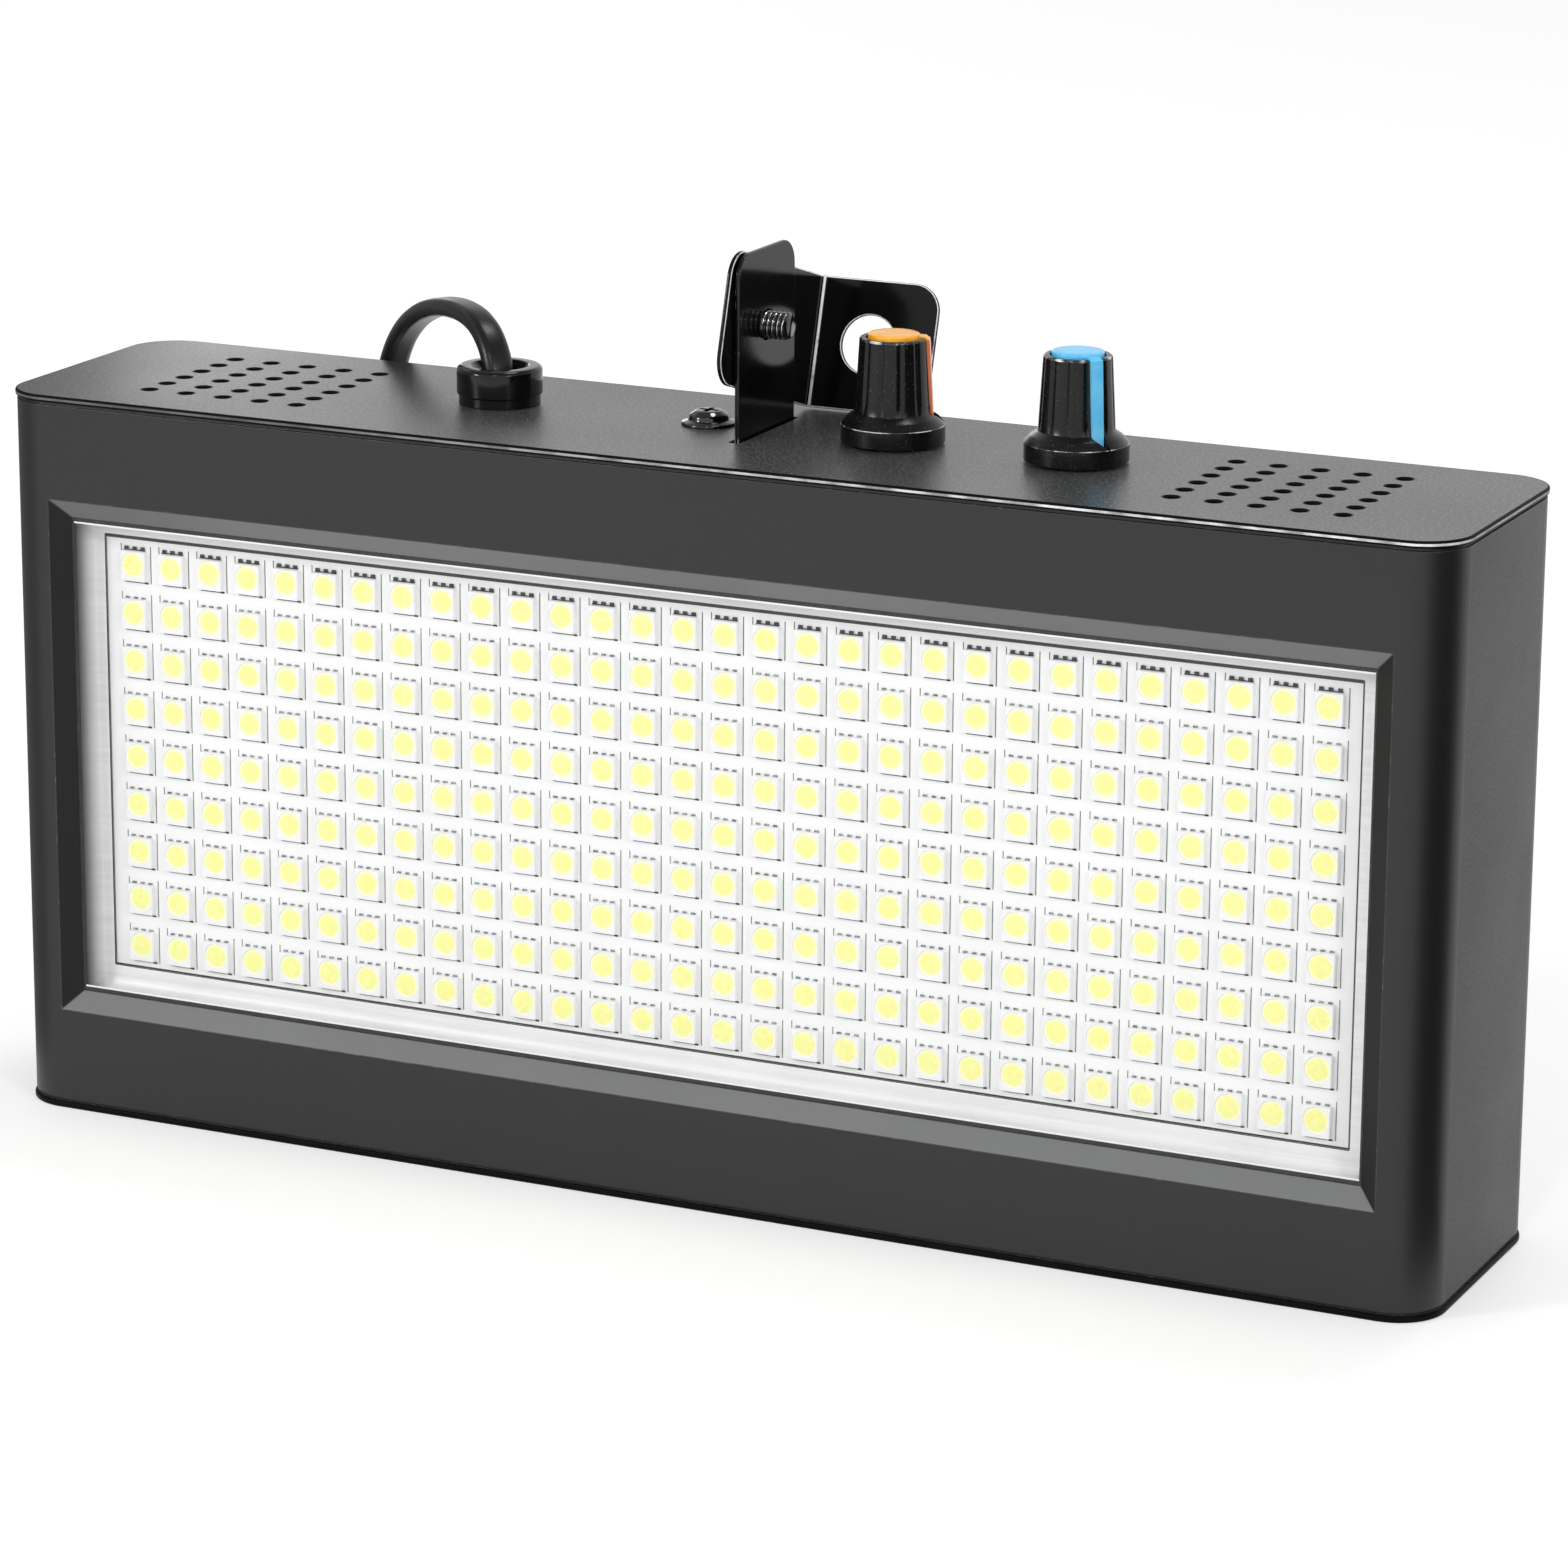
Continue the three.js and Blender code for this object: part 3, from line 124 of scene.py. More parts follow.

# Lamps. LAMP_LINES are the board's thin lines about a lamp: from and to, across and up. The first two are
# printed lines, the last two, under the package, are painted shadow.
COLUMNS = 30
ROWS = 9
PITCH_X = 7.6
PITCH_Z = 8.63
LAMP_SIZE = 5.0
LAMP_TALL = 5.5
LAMP_HEIGHT = 1.05
LAMP_CORNER = 0.35
LAMP_EDGE = 0.12
LAMP_TAPER = 0.06
LAMP_LEADS = (0.62, 0.26)
PIN_PLACES = (-1.6, 0.0, 1.6)
PIN_HALF = 0.38
GEL_RADIUS = 2.2
GEL_DEPTH = 0.16
LAMP_LINES = (
    ((3.06, 3.2), (-3.3, 3.35)),
    ((-2.84, -2.7), (2.2, 3.5)),
    ((-2.1, 2.5), (-3.34, -3.12)),
    ((1.9, 2.6), (-3.42, -3.12)),
)

# Fittings on the top plate. The bracket's sheet is a leg, a bend and a flange.
FITTINGS_Y = 3.4
EAR_X = (-0.45, 0.35)
EAR_DEPTH = 22.0
EAR_RISE = 31.2
EAR_CORNER = 4.4
EAR_FOOT_X = -8.4
EAR_FOOT_LENGTH = 18.0
EAR_SCREW_X = -10.4
SHEET = 0.8
PIVOT_Z = TOP_Z + 18.0
THREAD_RADIUS = 2.4
THREAD_PITCH = 0.9
THREAD_DEPTH = 0.32
CREST = 0.09
STUB_LENGTH = 4.4
BOLT_HOLE = THREAD_RADIUS + 0.3
BOLT_HEAD_RADIUS = 4.5
BOLT_HEAD_HEIGHT = 3.5
WASHER_RADIUS = 5.0
WASHER_HOLE = 2.7
WASHER_THICKNESS = 0.8
LEG_X = (-1.55, -0.75)
BOLT_X = -2.65
LEG_FRONT = -14.2
FOLD_Y = 23.0
FLANGE_X = 21.25
BEND_RADIUS = 0.8
BEND_STEPS = 8
BEND_MIDDLE = BEND_RADIUS + SHEET / 2
BEND_X = LEG_X[1] + BEND_RADIUS
LEG_LENGTH = FOLD_Y - BEND_RADIUS - LEG_FRONT
BEND_LENGTH = QUARTER * BEND_MIDDLE
FLANGE_LENGTH = FLANGE_X - BEND_X
BRACKET_WIDTH = 22.15
BRACKET_DROP = 0.5
BRACKET_CORNER = 4.8
BRACKET_HOLE_X = 9.05
BRACKET_HOLE_RADIUS = 5.0
LEAN = math.radians(-16.5)
GROMMET_X = -50.3
EAR_SCREW_HOLE = 2.3
KNOB_HOLE = 3.8
GROMMET_HOLE = 5.9

# Knobs: name, colour, x and the pointer's angle
KNOBS = (("speed", "orange", 23.6, 20), ("mode", "blue", 56.6, -36))
KNOB_HEIGHT = 18.0
KNOB_TOP_RADIUS = 5.75
KNOB_FOOT_RADIUS = 6.4
KNOB_FOOT_HEIGHT = 5.5
KNOB_FLUTES = 12
FLUTE_DEPTH = 0.3
FLUTE_SHARE = 0.2
SKIRT_RADIUS = 8.75
SKIRT_FOOT = 0.4
RECESS_RADIUS = 4.65
RECESS_FLOOR = 16.8
SHAFT_RADIUS = 3.3
SHAFT_TOP = 14.8
CAP_RADIUS = 4.35
POINTER_PLAY = 0.24
POINTER_WIDTH = 2.15
POINTER_PROUD = 0.3
POINTER_TIPS = (5.15, 3.1)

# Cord. ARCH_ROUTE is a distance along ARCH_REACH and a rise, DROP_ROUTE is x, y and z.
CORD_WIDTH = 5.4
CORD_THICKNESS = 3.3
CORD_END_STEPS = 9
COIL_X = -52.0
COIL_FRONT = 38.5
COIL_RADIUS = 36.0
COIL_TURNS = 5
COIL_LOW = 3.6
COIL_HIGH = 9.6
TURN_PITCH = 4.2
COIL_STEPS = 36
TAIL_STEPS = 12
LIES_FLAT = (-60.0, -20.0)
STANDS_UP = (-84.0, -60.0)
STANDS_BELOW = 25
PLUG_LEVEL = 6.5
PLUG_X = -20.0
PLUG_END = 18.0
PLUG_SIZE = (18.0, 13.0)
NOSE_LENGTH = 20.0
NOSE_TIP = (7.1, 7.4)
NOSE_ROOT = (11.0, 11.5)
NOSE_RIBS = 7
RIB_DEPTH = 0.55
NOSE_POWER = 2.2
GRIP_POWER = 4.5
BLADE_SIZE = (22.3, 6.3, 1.5)
BLADE_REACH = 16.0
BLADE_OFFSET = 6.35
BLADE_HOLE = (12.4, 1.5)
ARCH_REACH = (-0.78, 0.62)
ARCH_ROUTE = (
    (0, 2), (0.2, 4.2), (1.1, 6.7), (2.9, 9.2), (5.6, 11.3), (9.3, 12.7), (14, 13.3),
    (20, 13.1), (26.5, 12), (33, 9.9), (38.8, 6.9), (43.6, 3), (47.2, -1.8), (49.8, -8), (51, -16),
)
DROP_ROUTE = (
    (-90.3, 35.3, 98), (-90.4, 35.5, 80), (-90.5, 35.8, 62), (-90.3, 36.2, 46),
    (-89.2, 36.8, 31), (-86.2, 37.4, 18.5), (-80.6, 37.9, 9.4), (-73, 38.3, 4.9), (-65.5, 38.5, 4),
)


# Places: a flat outline (u, v) and a height w become a point
def up(u, v, w):
    return Vector((u, v, w))


def back(u, v, w):
    return Vector((u, w, v))


def right(u, v, w):
    return Vector((w, u, v))


def about(x, y, z):
    """Up, from a base at x, y, z."""
    return lambda u, v, w: Vector((x + u, y + v, z + w))


class Solid:
    """Points, faces and what each face is painted with, in millimetres."""

    def __init__(self):
        self.points = []
        self.faces = []

    def ring(self, points):
        start = len(self.points)
        self.points.extend(Vector(point) for point in points)
        return list(range(start, len(self.points)))

    def level(self, outline, w, place=back):
        """A ring of a flat outline's points at height w."""
        return self.ring([place(u, v, w) for u, v in outline])

    def face(self, corners, paint=0, smooth=True):
        self.faces.append((list(corners), paint, smooth))

    def strip(self, a, b, paint=0):
        """Faces between two closed rings. A ring of one point is a pole."""
        count = max(len(a), len(b))
        for i in range(count):
            j = (i + 1) % count
            corners = dict.fromkeys([a[i % len(a)], a[j % len(a)], b[j % len(b)], b[i % len(b)]])
            if len(corners) > 2:
                self.face(corners, paint)

    def loft(self, rings):
        """Strips from ring to ring and a face over both ends."""
        for a, b in zip(rings, rings[1:]):
            self.strip(a, b)
        self.face(rings[0])
        self.face(rings[-1])
        return self

    def wall(self, shape, sign, sides, place, paints):
        """The side of a thick flat shape, or of a hole in it where sign is -1. Gives its two rims."""
        rings = [self.level(shape(sign * inset), w, place) for inset, w in sides]
        for a, b, paint in zip(rings, rings[1:], paints):
            self.strip(a, b, paint)
        return rings[0], rings[-1]

    def fill(self, loops, paint=0):
        """A flat face with an outline and holes."""
        flat = [index for loop in loops for index in loop]
        for corners in tessellate_polygon([[self.points[i] for i in loop] for loop in loops]):
            self.face([flat[k] for k in corners], paint, False)

    def add(self, other, paint=None):
        start = len(self.points)
        self.points.extend(other.points)
        for corners, own, smooth in other.faces:
            self.face([start + i for i in corners], own if paint is None else paint, smooth)
        return self

    def moved(self, matrix):
        self.points = [matrix @ point for point in self.points]
        return self


def to_mesh(solid, name):
    mesh = bpy.data.meshes.new(name)
    bm = bmesh.new()
    verts = [bm.verts.new(point) for point in solid.points]
    for corners, paint, smooth in solid.faces:
        face = bm.faces.new([verts[i] for i in corners])
        face.material_index = paint
        face.smooth = smooth
    bmesh.ops.recalc_face_normals(bm, faces=bm.faces)
    bm.to_mesh(mesh)
    bm.free()
    return mesh


def linked(name, data):
    obj = bpy.data.objects.new(name, data)
    bpy.context.scene.collection.objects.link(obj)
    return obj


def combined(solid, tools, operation="DIFFERENCE"):
    """The solid with each tool cut from it or joined to it."""
    base = linked("base", to_mesh(solid, "base"))
    helpers = [linked("tool", to_mesh(tool, "tool")) for tool in tools]
    for helper in helpers:
        modifier = base.modifiers.new("combine", "BOOLEAN")
        modifier.operation = operation
        modifier.solver = "EXACT"
        modifier.object = helper
    depsgraph = bpy.context.evaluated_depsgraph_get()
    mesh = base.evaluated_get(depsgraph).to_mesh()
    result = Solid()
    result.ring([vertex.co for vertex in mesh.vertices])
    for polygon in mesh.polygons:
        result.face(polygon.vertices, polygon.material_index, polygon.use_smooth)
    for helper in [base, *helpers]:
        old = helper.data
        bpy.data.objects.remove(helper)
        bpy.data.meshes.remove(old)
    return result


def repainted(solid, choose):
    """The solid with each face's paint chosen anew from its points."""
    result = Solid()
    result.points = solid.points
    for corners, _, smooth in solid.faces:
        result.face(corners, int(choose([solid.points[i] for i in corners])), smooth)
    return result


def tidy_flats(obj):
    """Joins the triangles of flat faces, so that a bevel runs cleanly."""
    bm = bmesh.new()
    bm.from_mesh(obj.data)
    bmesh.ops.remove_doubles(bm, verts=bm.verts, dist=LEAST * MM)
    bmesh.ops.dissolve_limit(
        bm,
        angle_limit=math.radians(0.5),
        verts=bm.verts,
        edges=bm.edges,
        delimit={"MATERIAL"},
    )
    bmesh.ops.recalc_face_normals(bm, faces=bm.faces)
    bm.to_mesh(obj.data)
    bm.free()


def add_piece(name, solid, colours, slot, *replaced, body="light_body", bevel=0.0, segments=3, crease=35):
    """A piece of the scene. The last colour is that of the edges which bevel rounds."""
    solid.moved(Matrix.Scale(MM, 4))
    obj = linked(name, to_mesh(solid, name))
    for colour in colours:
        obj.data.materials.append(paints[colour])
    if bevel:
        tidy_flats(obj)
        for polygon in obj.data.polygons:
            polygon.use_smooth = True
        modifier = obj.modifiers.new("edges", "BEVEL")
        modifier.width = bevel * MM
        modifier.material = len(colours) - 1
        modifier.segments = segments
        modifier.limit_method = "ANGLE"
        modifier.angle_limit = math.radians(crease)
        modifier.harden_normals = True
    obj.data.set_sharp_from_angle(angle=math.radians(crease))
    if not bevel:
        for polygon, (_, _, smooth) in zip(obj.data.polygons, solid.faces):
            polygon.use_smooth = smooth
    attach(obj, body)
    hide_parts(*replaced)
    return obj


# Outlines: each is a function of how far the outline is inset
def quarter(centre, size, turn, steps=CORNER_STEPS):
    """The points of a quarter of a circle, which starts after turn quarters."""
    angles = [QUARTER * (turn + step / steps) for step in range(steps + 1)]
    return [(centre[0] + size * math.cos(a), centre[1] + size * math.sin(a)) for a in angles]


def rect(width, height, radius=0.0, centre=(0.0, 0.0), steps=CORNER_STEPS):
    def outline(inset=0.0):
        size = radius - inset if radius else 0.0
        sharp = size < LEAST
        reach = [half - inset - (0.0 if sharp else size) for half in (width / 2, height / 2)]
        points = []
        for turn, (sx, sy) in enumerate(((1, 1), (-1, 1), (-1, -1), (1, -1))):
            corner = (centre[0] + sx * reach[0], centre[1] + sy * reach[1])
            points += [corner] if sharp else quarter(corner, size, turn, steps)
        return points

    return outline


def disc(radius, centre=(0.0, 0.0), steps=SMALL_STEPS):
    def outline(inset=0.0):
        size = radius - inset
        angles = [2 * math.pi * (i + 0.5) / steps for i in range(steps)]
        return [(centre[0] + size * math.cos(a), centre[1] + size * math.sin(a)) for a in angles]

    return outline


def side_profile(low, high, edge):
    """Inset and height up a side with rounded edges."""
    if not edge:
        return [(0.0, low), (0.0, high)]
    arc = []
    for step in range(EDGE_STEPS + 1):
        angle = QUARTER * step / EDGE_STEPS
        arc.append((edge * (1 - math.sin(angle)), edge * (1 - math.cos(angle))))
    return [(i, low + h) for i, h in arc] + [(i, high - h) for i, h in reversed(arc)]


def prism(outline, low, high, place=up, holes=(), edge=0.0, paint=0, edge_paint=None,
          side_paint=0, hole_paint=None):
    """A thick flat shape with holes, whose edges are rounded and may have a paint of their own."""
    solid = Solid()
    sides = side_profile(low, high, edge)
    plain = [hole_paint or paint] * len(sides)
    edged = [side_paint if 2 * i == len(sides) else edge_paint for i in range(1, len(sides))]
    rims = []
    for shape, sign in [(outline, 1), *((hole, -1) for hole in holes)]:
        one_paint = edge_paint is None or (sign < 0 and hole_paint is not None)
        rims.append(solid.wall(shape, sign, sides, place, plain if one_paint else edged))
    for loops in zip(*rims):
        solid.fill(loops, paint)
    return solid


def box(x, y, z, paint=0):
    size = (x[1] - x[0], y[1] - y[0])
    centre = ((x[0] + x[1]) / 2, (y[0] + y[1]) / 2)
    return prism(rect(*size, centre=centre), z[0], z[1], paint=paint)


def turned(profile, place=up, steps=ROUND_STEPS, swell=None, paint=0):
    """A profile of radius and height turned round. A profile that ends where it starts is a ring."""
    solid = Solid()
    looped = profile[0] == profile[-1]
    rings = []
    for radius, height in profile[:-1] if looped else profile:
        if radius < LEAST:
            rings.append(solid.ring([place(0, 0, height)]))
            continue
        points = []
        for i in range(steps):
            angle = 2 * math.pi * i / steps
            size = radius + (swell(angle, height, radius) if swell else 0.0)
            points.append(place(size * math.cos(angle), size * math.sin(angle), height))
        rings.append(solid.ring(points))
    if looped:
        rings.append(rings[0])
    for a, b in zip(rings, rings[1:]):
        solid.strip(a, b, paint)
    return solid


def rounded(corners, steps=EDGE_STEPS):
    """A line of (radius, height, rounding) corners with its roundings drawn."""
    points = []
    for i, (r, z, size) in enumerate(corners):
        here = Vector((r, z))
        if not size or i in (0, len(corners) - 1):
            points.append((r, z))
            continue
        before = (Vector(corners[i - 1][:2]) - here).normalized()
        after = (Vector(corners[i + 1][:2]) - here).normalized()
        half = before.angle(after) / 2
        reach = size / math.tan(half)
        middle = here + (before + after).normalized() * (size / math.sin(half))
        start = here + before * reach - middle
        sweep = (here + after * reach - middle).angle_signed(start)
        for step in range(steps + 1):
            turn = Matrix.Rotation(sweep * step / steps, 2)
            point = middle + turn @ start
            points.append((point.x, point.y))
    return points


# Materials
def linear(red, green, blue):
    """A colour from its usual 0 to 255 values."""
    def one(value):
        share = value / 255
        return share / 12.92 if share <= 0.04045 else ((share + 0.055) / 1.055) ** 2.4

    return (one(red), one(green), one(blue), 1.0)


def tone(value):
    """A colour from one grey level, or from red, green and blue."""
    return linear(*value) if isinstance(value, tuple) else linear(value, value, value)


def charcoal(value):
    return (value - 1, value + 1, value)


paints = {}


class Nodes:
    """A node tree whose nodes are made and linked in short calls."""

    def __init__(self, tree):
        self.tree = tree

    def feed(self, socket, value):
        """Links a socket, or sets it where the value is a constant."""
        if isinstance(value, bpy.types.NodeSocket):
            self.tree.links.new(value, socket)
        else:
            socket.default_value = value

    def node(self, kind, sockets=(), **settings):
        made = self.tree.nodes.new(kind)
        for key, value in settings.items():
            setattr(made, key, value)
        for key, value in dict(sockets).items():
            self.feed(made.inputs[key], value)
        return made

    def spread(self, value, low, high, start=0.3, end=0.7):
        sockets = {
            "Value": value, "From Min": start, "From Max": end, "To Min": low, "To Max": high,
        }
        return self.node("ShaderNodeMapRange", sockets).outputs[0]

    def maths(self, operation, a, b=0.0):
        return self.node("ShaderNodeMath", {0: a, 1: b}, operation=operation).outputs[0]

    def weighed(self, a, share_a, b, share_b):
        return self.maths("ADD", self.maths("MULTIPLY", a, share_a), self.maths("MULTIPLY", b, share_b))

    def mix(self, factor, a, b):
        return self.node("ShaderNodeMix", {0: factor, 6: a, 7: b}, data_type="RGBA").outputs[2]


class Paint(Nodes):
    """A material's nodes, built from its Object coordinates. It is kept in paints by its name."""

    def __init__(self, name):
        self.material = paints[name] = bpy.data.materials.new(name)
        self.material.use_nodes = True
        super().__init__(self.material.node_tree)
        self.shader = self.tree.nodes["Principled BSDF"]
        self.place = self.node("ShaderNodeTexCoord").outputs["Object"]

    def parts(self):
        return self.node("ShaderNodeSeparateXYZ", {0: self.place}).outputs

    def noise(self, size, detail=3.0, stretch=(1, 1, 1)):
        """Noise from 0 to 1 whose features are about size millimetres, longer where stretch is small."""
        scaled = self.node("ShaderNodeVectorMath", {0: self.place, 1: stretch}, operation="MULTIPLY")
        sockets = {"Vector": scaled.outputs[0], "Scale": 1 / (size * MM), "Detail": detail}
        return self.node("ShaderNodeTexNoise", sockets).outputs["Fac"]

    def put(self, **sockets):
        for key, value in sockets.items():
            self.feed(self.shader.inputs[key.replace("_", " ")], value)

    def bump(self, height, depth):
        sockets = {"Height": height, "Distance": depth * MM, "Strength": 1.0}
        self.put(Normal=self.node("ShaderNodeBump", sockets).outputs[0])


def finish(name, dark, light, rough, patch, grain, depth, speck_tone=None, speck_share=0.35, speck_size=2.2, speck_start=0.56,
           stretch=(1, 1, 1), specular=0.5, metal=0.0):
    """A painted or moulded finish: patches of tone, a fine grain and specks.

    dark, light and the specks' tone are tones and rough is a range. patch, grain and the specks' size are the
    sizes of the noises, depth is that of the grain, then come how much the specks show and where they begin.
    On the shell's sides, the plates, the plug and the hidden parts the specks are grain and scuffs; on the
    edge and knob finishes they make painted highlights and glints, or break a painted highlight up.
    """
    paint = Paint(name)
    patches = paint.noise(patch, stretch=stretch)
    fine = paint.noise(grain, 2.0, stretch)
    colour = paint.mix(paint.spread(patches, 0.0, 1.0), tone(dark), tone(light))
    if speck_tone:
        # Specks: grain and scuffs on some finishes, painted highlights and glints on the edge and knob
        # finishes
        specks = paint.spread(paint.noise(speck_size, 6.0), 0.0, speck_share, speck_start, speck_start + 0.14)
        colour = paint.mix(specks, colour, tone(speck_tone))
    paint.put(
        Base_Color=colour,
        Roughness=paint.spread(paint.weighed(patches, 0.5, fine, 0.5), *rough),
        Specular_IOR_Level=specular,
        Metallic=metal,
    )
    paint.bump(fine, depth)


finish("shell_black", charcoal(20), charcoal(23), (0.38, 0.44), 60, 0.5, 0.003)
finish("shell_side", charcoal(15), charcoal(20), (0.36, 0.46), 22, 0.5, 0.02, charcoal(60), 0.6, 0.55, 0.51,
       specular=0.33)
# The window's level bevels are painted lighter and its upright bevels darker than the front: painted light
# and painted shade
finish("bevel_painted_light", charcoal(109), charcoal(117), (0.36, 0.42), 40, 0.4, 0.003)
finish("bevel_painted_shade", 20, 24, (0.4, 0.46), 40, 0.4, 0.003, specular=0.22)
# The shell's rounded edges are a little lighter than its faces: edge wear and a painted highlight
finish("shell_edge_wear_and_painted_highlight", 34, 46, (0.3, 0.38), 12, 0.3, 0.004, 120)
finish("plate_black", charcoal(48), charcoal(57), (0.3, 0.4), 45, 0.45, 0.035, charcoal(116), 0.7, 0.55, 0.51,
       specular=0.72)
# Black for the plates' rounded edges, the bottom plate's side and the vent-hole walls: painted shade
finish("rim_painted_shade", 7, 14, (0.4, 0.5), 9, 0.3, 0.004, specular=0.06)
finish("sheet_black", 10, 14, (0.09, 0.14), 12, 0.6, 0.001, specular=0.21)
# Near-white for the bracket's edges and the inside of its fold: a painted highlight, broken by dark specks
finish("sheet_edge_painted_highlight", 236, 251, (0.22, 0.34), 5, 0.25, 0.01, 40, 0.6)
# Dark with dense near-white specks for the ear's rounded edges: a painted highlight
finish("ear_edge_painted_highlight", 14, 20, (0.2, 0.3), 5, 0.25, 0.004, 230, 0.9, 7.0)
finish("screw_black", 10, 16, (0.07, 0.12), 3, 0.3, 0.002, specular=0.75)
# Bright grey metal for the thread's crests: painted glints
finish("crest_painted_glint", 120, 236, (0.14, 0.22), 0.7, 0.3, 0.004, metal=0.85)
# The knob's black plastic with sparse light specks: painted glints
finish("knob_black_with_painted_glints", 10, 16, (0.2, 0.28), 6, 0.2, 0.016, 90, 0.5, 0.4, 0.61, specular=0.32)
# Near-white specks on the knob's rims: painted glints
finish("knob_rim_painted_glint", 30, 60, (0.12, 0.2), 2, 0.3, 0.004, 225, 0.9, 3.0, 0.5)
finish("ring_black", 10, 14, (0.09, 0.15), 5, 0.4, 0.002, specular=0.36)
finish("cord_black", 12, 18, (0.28, 0.36), 14, 0.5, 0.01, specular=0.38)
finish("plug_black", 20, 27, (0.36, 0.45), 9, 0.35, 0.01, 50)
finish("tie_black", 24, 34, (0.5, 0.6), 5, 0.5, 0.03)
finish("part_black", 22, 30, (0.4, 0.5), 6, 0.4, 0.008, 60)
finish("orange_cap", (253, 164, 24), (255, 190, 52), (0.2, 0.28), 4, 0.3, 0.004)
# The orange pointer's strip is darker and redder than its cap: painted shade on the strip's side
finish("orange_strip", (226, 104, 62), (238, 128, 84), (0.2, 0.28), 4, 0.3, 0.004)
finish("blue_cap", (76, 190, 246), (108, 210, 255), (0.2, 0.28), 4, 0.3, 0.004)
finish("blue_strip", (92, 198, 250), (124, 214, 255), (0.2, 0.28), 4, 0.3, 0.004)
finish("steel", 150, 178, (0.28, 0.4), 4, 0.3, 0.004, metal=1.0)
finish("brass", (190, 150, 80), (214, 176, 104), (0.24, 0.34), 6, 0.4, 0.003, stretch=(0.2, 1, 1), metal=1.0)
finish("aluminium", 165, 190, (0.36, 0.46), 8, 0.3, 0.006, stretch=(1, 1, 0.1), metal=1.0)
finish("green_board", (18, 78, 44), (28, 98, 56), (0.32, 0.42), 10, 0.5, 0.006)
finish("nylon", 205, 222, (0.5, 0.6), 4, 0.4, 0.01)
finish("board_white", 243, 248, (0.4, 0.5), 20, 0.6, 0.002)
finish("lamp_white", 243, 248, (0.35, 0.45), 6, 0.3, 0.003)
# Black for painted shade: the line round the window, the tray's opening, the board's outline and the lines
# under the lamps, and the top row's leads and printed lines
finish("painted_shade_black", 10, 34, (0.5, 0.6), 1.5, 0.3, 0.002)
finish("ink_grey", 16, 120, (0.5, 0.6), 1.1, 0.3, 0.002)
finish("solder", 214, 238, (0.3, 0.4), 0.8, 0.3, 0.004)
finish("lead_metal", 18, 176, (0.3, 0.5), 0.4, 0.2, 0.01)


def make_gel():
    """Pale yellow gel that fades towards its rim, by each lamp's own centre."""
    paint = Paint("lamp_gel")
    parts = paint.parts()
    squares = []
    first = (-(COLUMNS - 1) / 2 * PITCH_X, MIDDLE_Z - (ROWS - 1) / 2 * PITCH_Z)
    for axis, pitch, start in zip("XZ", (PITCH_X, PITCH_Z), first):
        shifted = paint.maths("ADD", parts[axis], (pitch / 2 - start) * MM)
        wrapped = paint.maths("FLOORED_MODULO", shifted, pitch * MM)
        off = paint.maths("SUBTRACT", wrapped, pitch / 2 * MM)
        squares.append(paint.maths("MULTIPLY", off, off))
    away = paint.maths("SQRT", paint.maths("ADD", *squares))
    rim = paint.spread(away, 0.0, 1.0, GEL_RADIUS * 0.76 * MM, GEL_RADIUS * 1.04 * MM)
    cloudy = paint.noise(1.6)
    middle = paint.mix(cloudy, tone((251, 250, 148)), tone((254, 253, 168)))
    paint.put(
        Base_Color=paint.mix(rim, middle, tone((252, 252, 238))),
        Roughness=paint.spread(cloudy, 0.22, 0.32),
    )
    paint.bump(paint.noise(0.8), 0.01)


def make_silver():
    """Silvered sheet with long streaks along the window, with painted shade darkening it where a wall meets
    the floor.
    """
    paint = Paint("brushed_silver")
    streaks = paint.noise(0.7, 3.0, (0.02, 0.1, 1))
    broad = paint.noise(18, 2.0)
    streaked = paint.spread(paint.weighed(streaks, 0.6, broad, 0.4), 0.0, 1.0)
    parts = paint.parts()
    inward = paint.maths("SUBTRACT", POCKET_SIZE[0] / 2 * MM, paint.maths("ABSOLUTE", parts["X"]))
    deeper = paint.maths("SUBTRACT", parts["Y"], TRAY_FRONT * MM)
    from_wall = paint.weighed(inward, 0.9, deeper, 0.42)
    shade = paint.spread(from_wall, 0.06, 1.0, 0.0, TRAY_SHADE * MM)
    paint.put(
        Base_Color=paint.mix(shade, tone(0), paint.mix(streaked, tone(232), tone(250))),
        Roughness=paint.spread(streaks, 0.34, 0.44),
        Metallic=0.08,
        Specular_IOR_Level=0.3,
    )
    paint.bump(streaks, 0.006)


def make_painted_rim_highlight():
    """The side of the top plate: a painted highlight along the front, more so to the right, broken up by
    noise.
    """
    paint = Paint("rim_painted_highlight")
    parts = paint.parts()
    along = paint.spread(parts["X"], 0.12, 1.0, -0.07, 0.06)
    front = paint.spread(parts["Y"], 1.0, 0.25, -0.024, -0.018)
    highlight_breakup = paint.spread(paint.noise(5, 5.0), 0.35, 1.0, 0.36, 0.56)
    share = paint.maths("MULTIPLY", paint.maths("MULTIPLY", along, front), highlight_breakup)
    paint.put(
        Base_Color=paint.mix(share, tone(34), tone(232)),
        Roughness=paint.spread(highlight_breakup, 0.36, 0.24, 0.0, 1.0),
    )
    paint.bump(paint.noise(0.4), 0.008)


def make_clear():
    """Clear sheet: nearly all light goes through."""
    paint = Paint("clear_sheet")
    smear = paint.noise(35, 3.0, (0.5, 1, 1.5))
    paint.put(
        Base_Color=paint.mix(smear, tone((225, 232, 236)), tone((240, 245, 248))),
        Roughness=paint.spread(smear, 0.05, 0.12),
        Metallic=1.0,
        Alpha=0.02,
    )
    paint.bump(paint.noise(60), 0.002)


make_gel()
make_silver()
make_painted_rim_highlight()
make_clear()


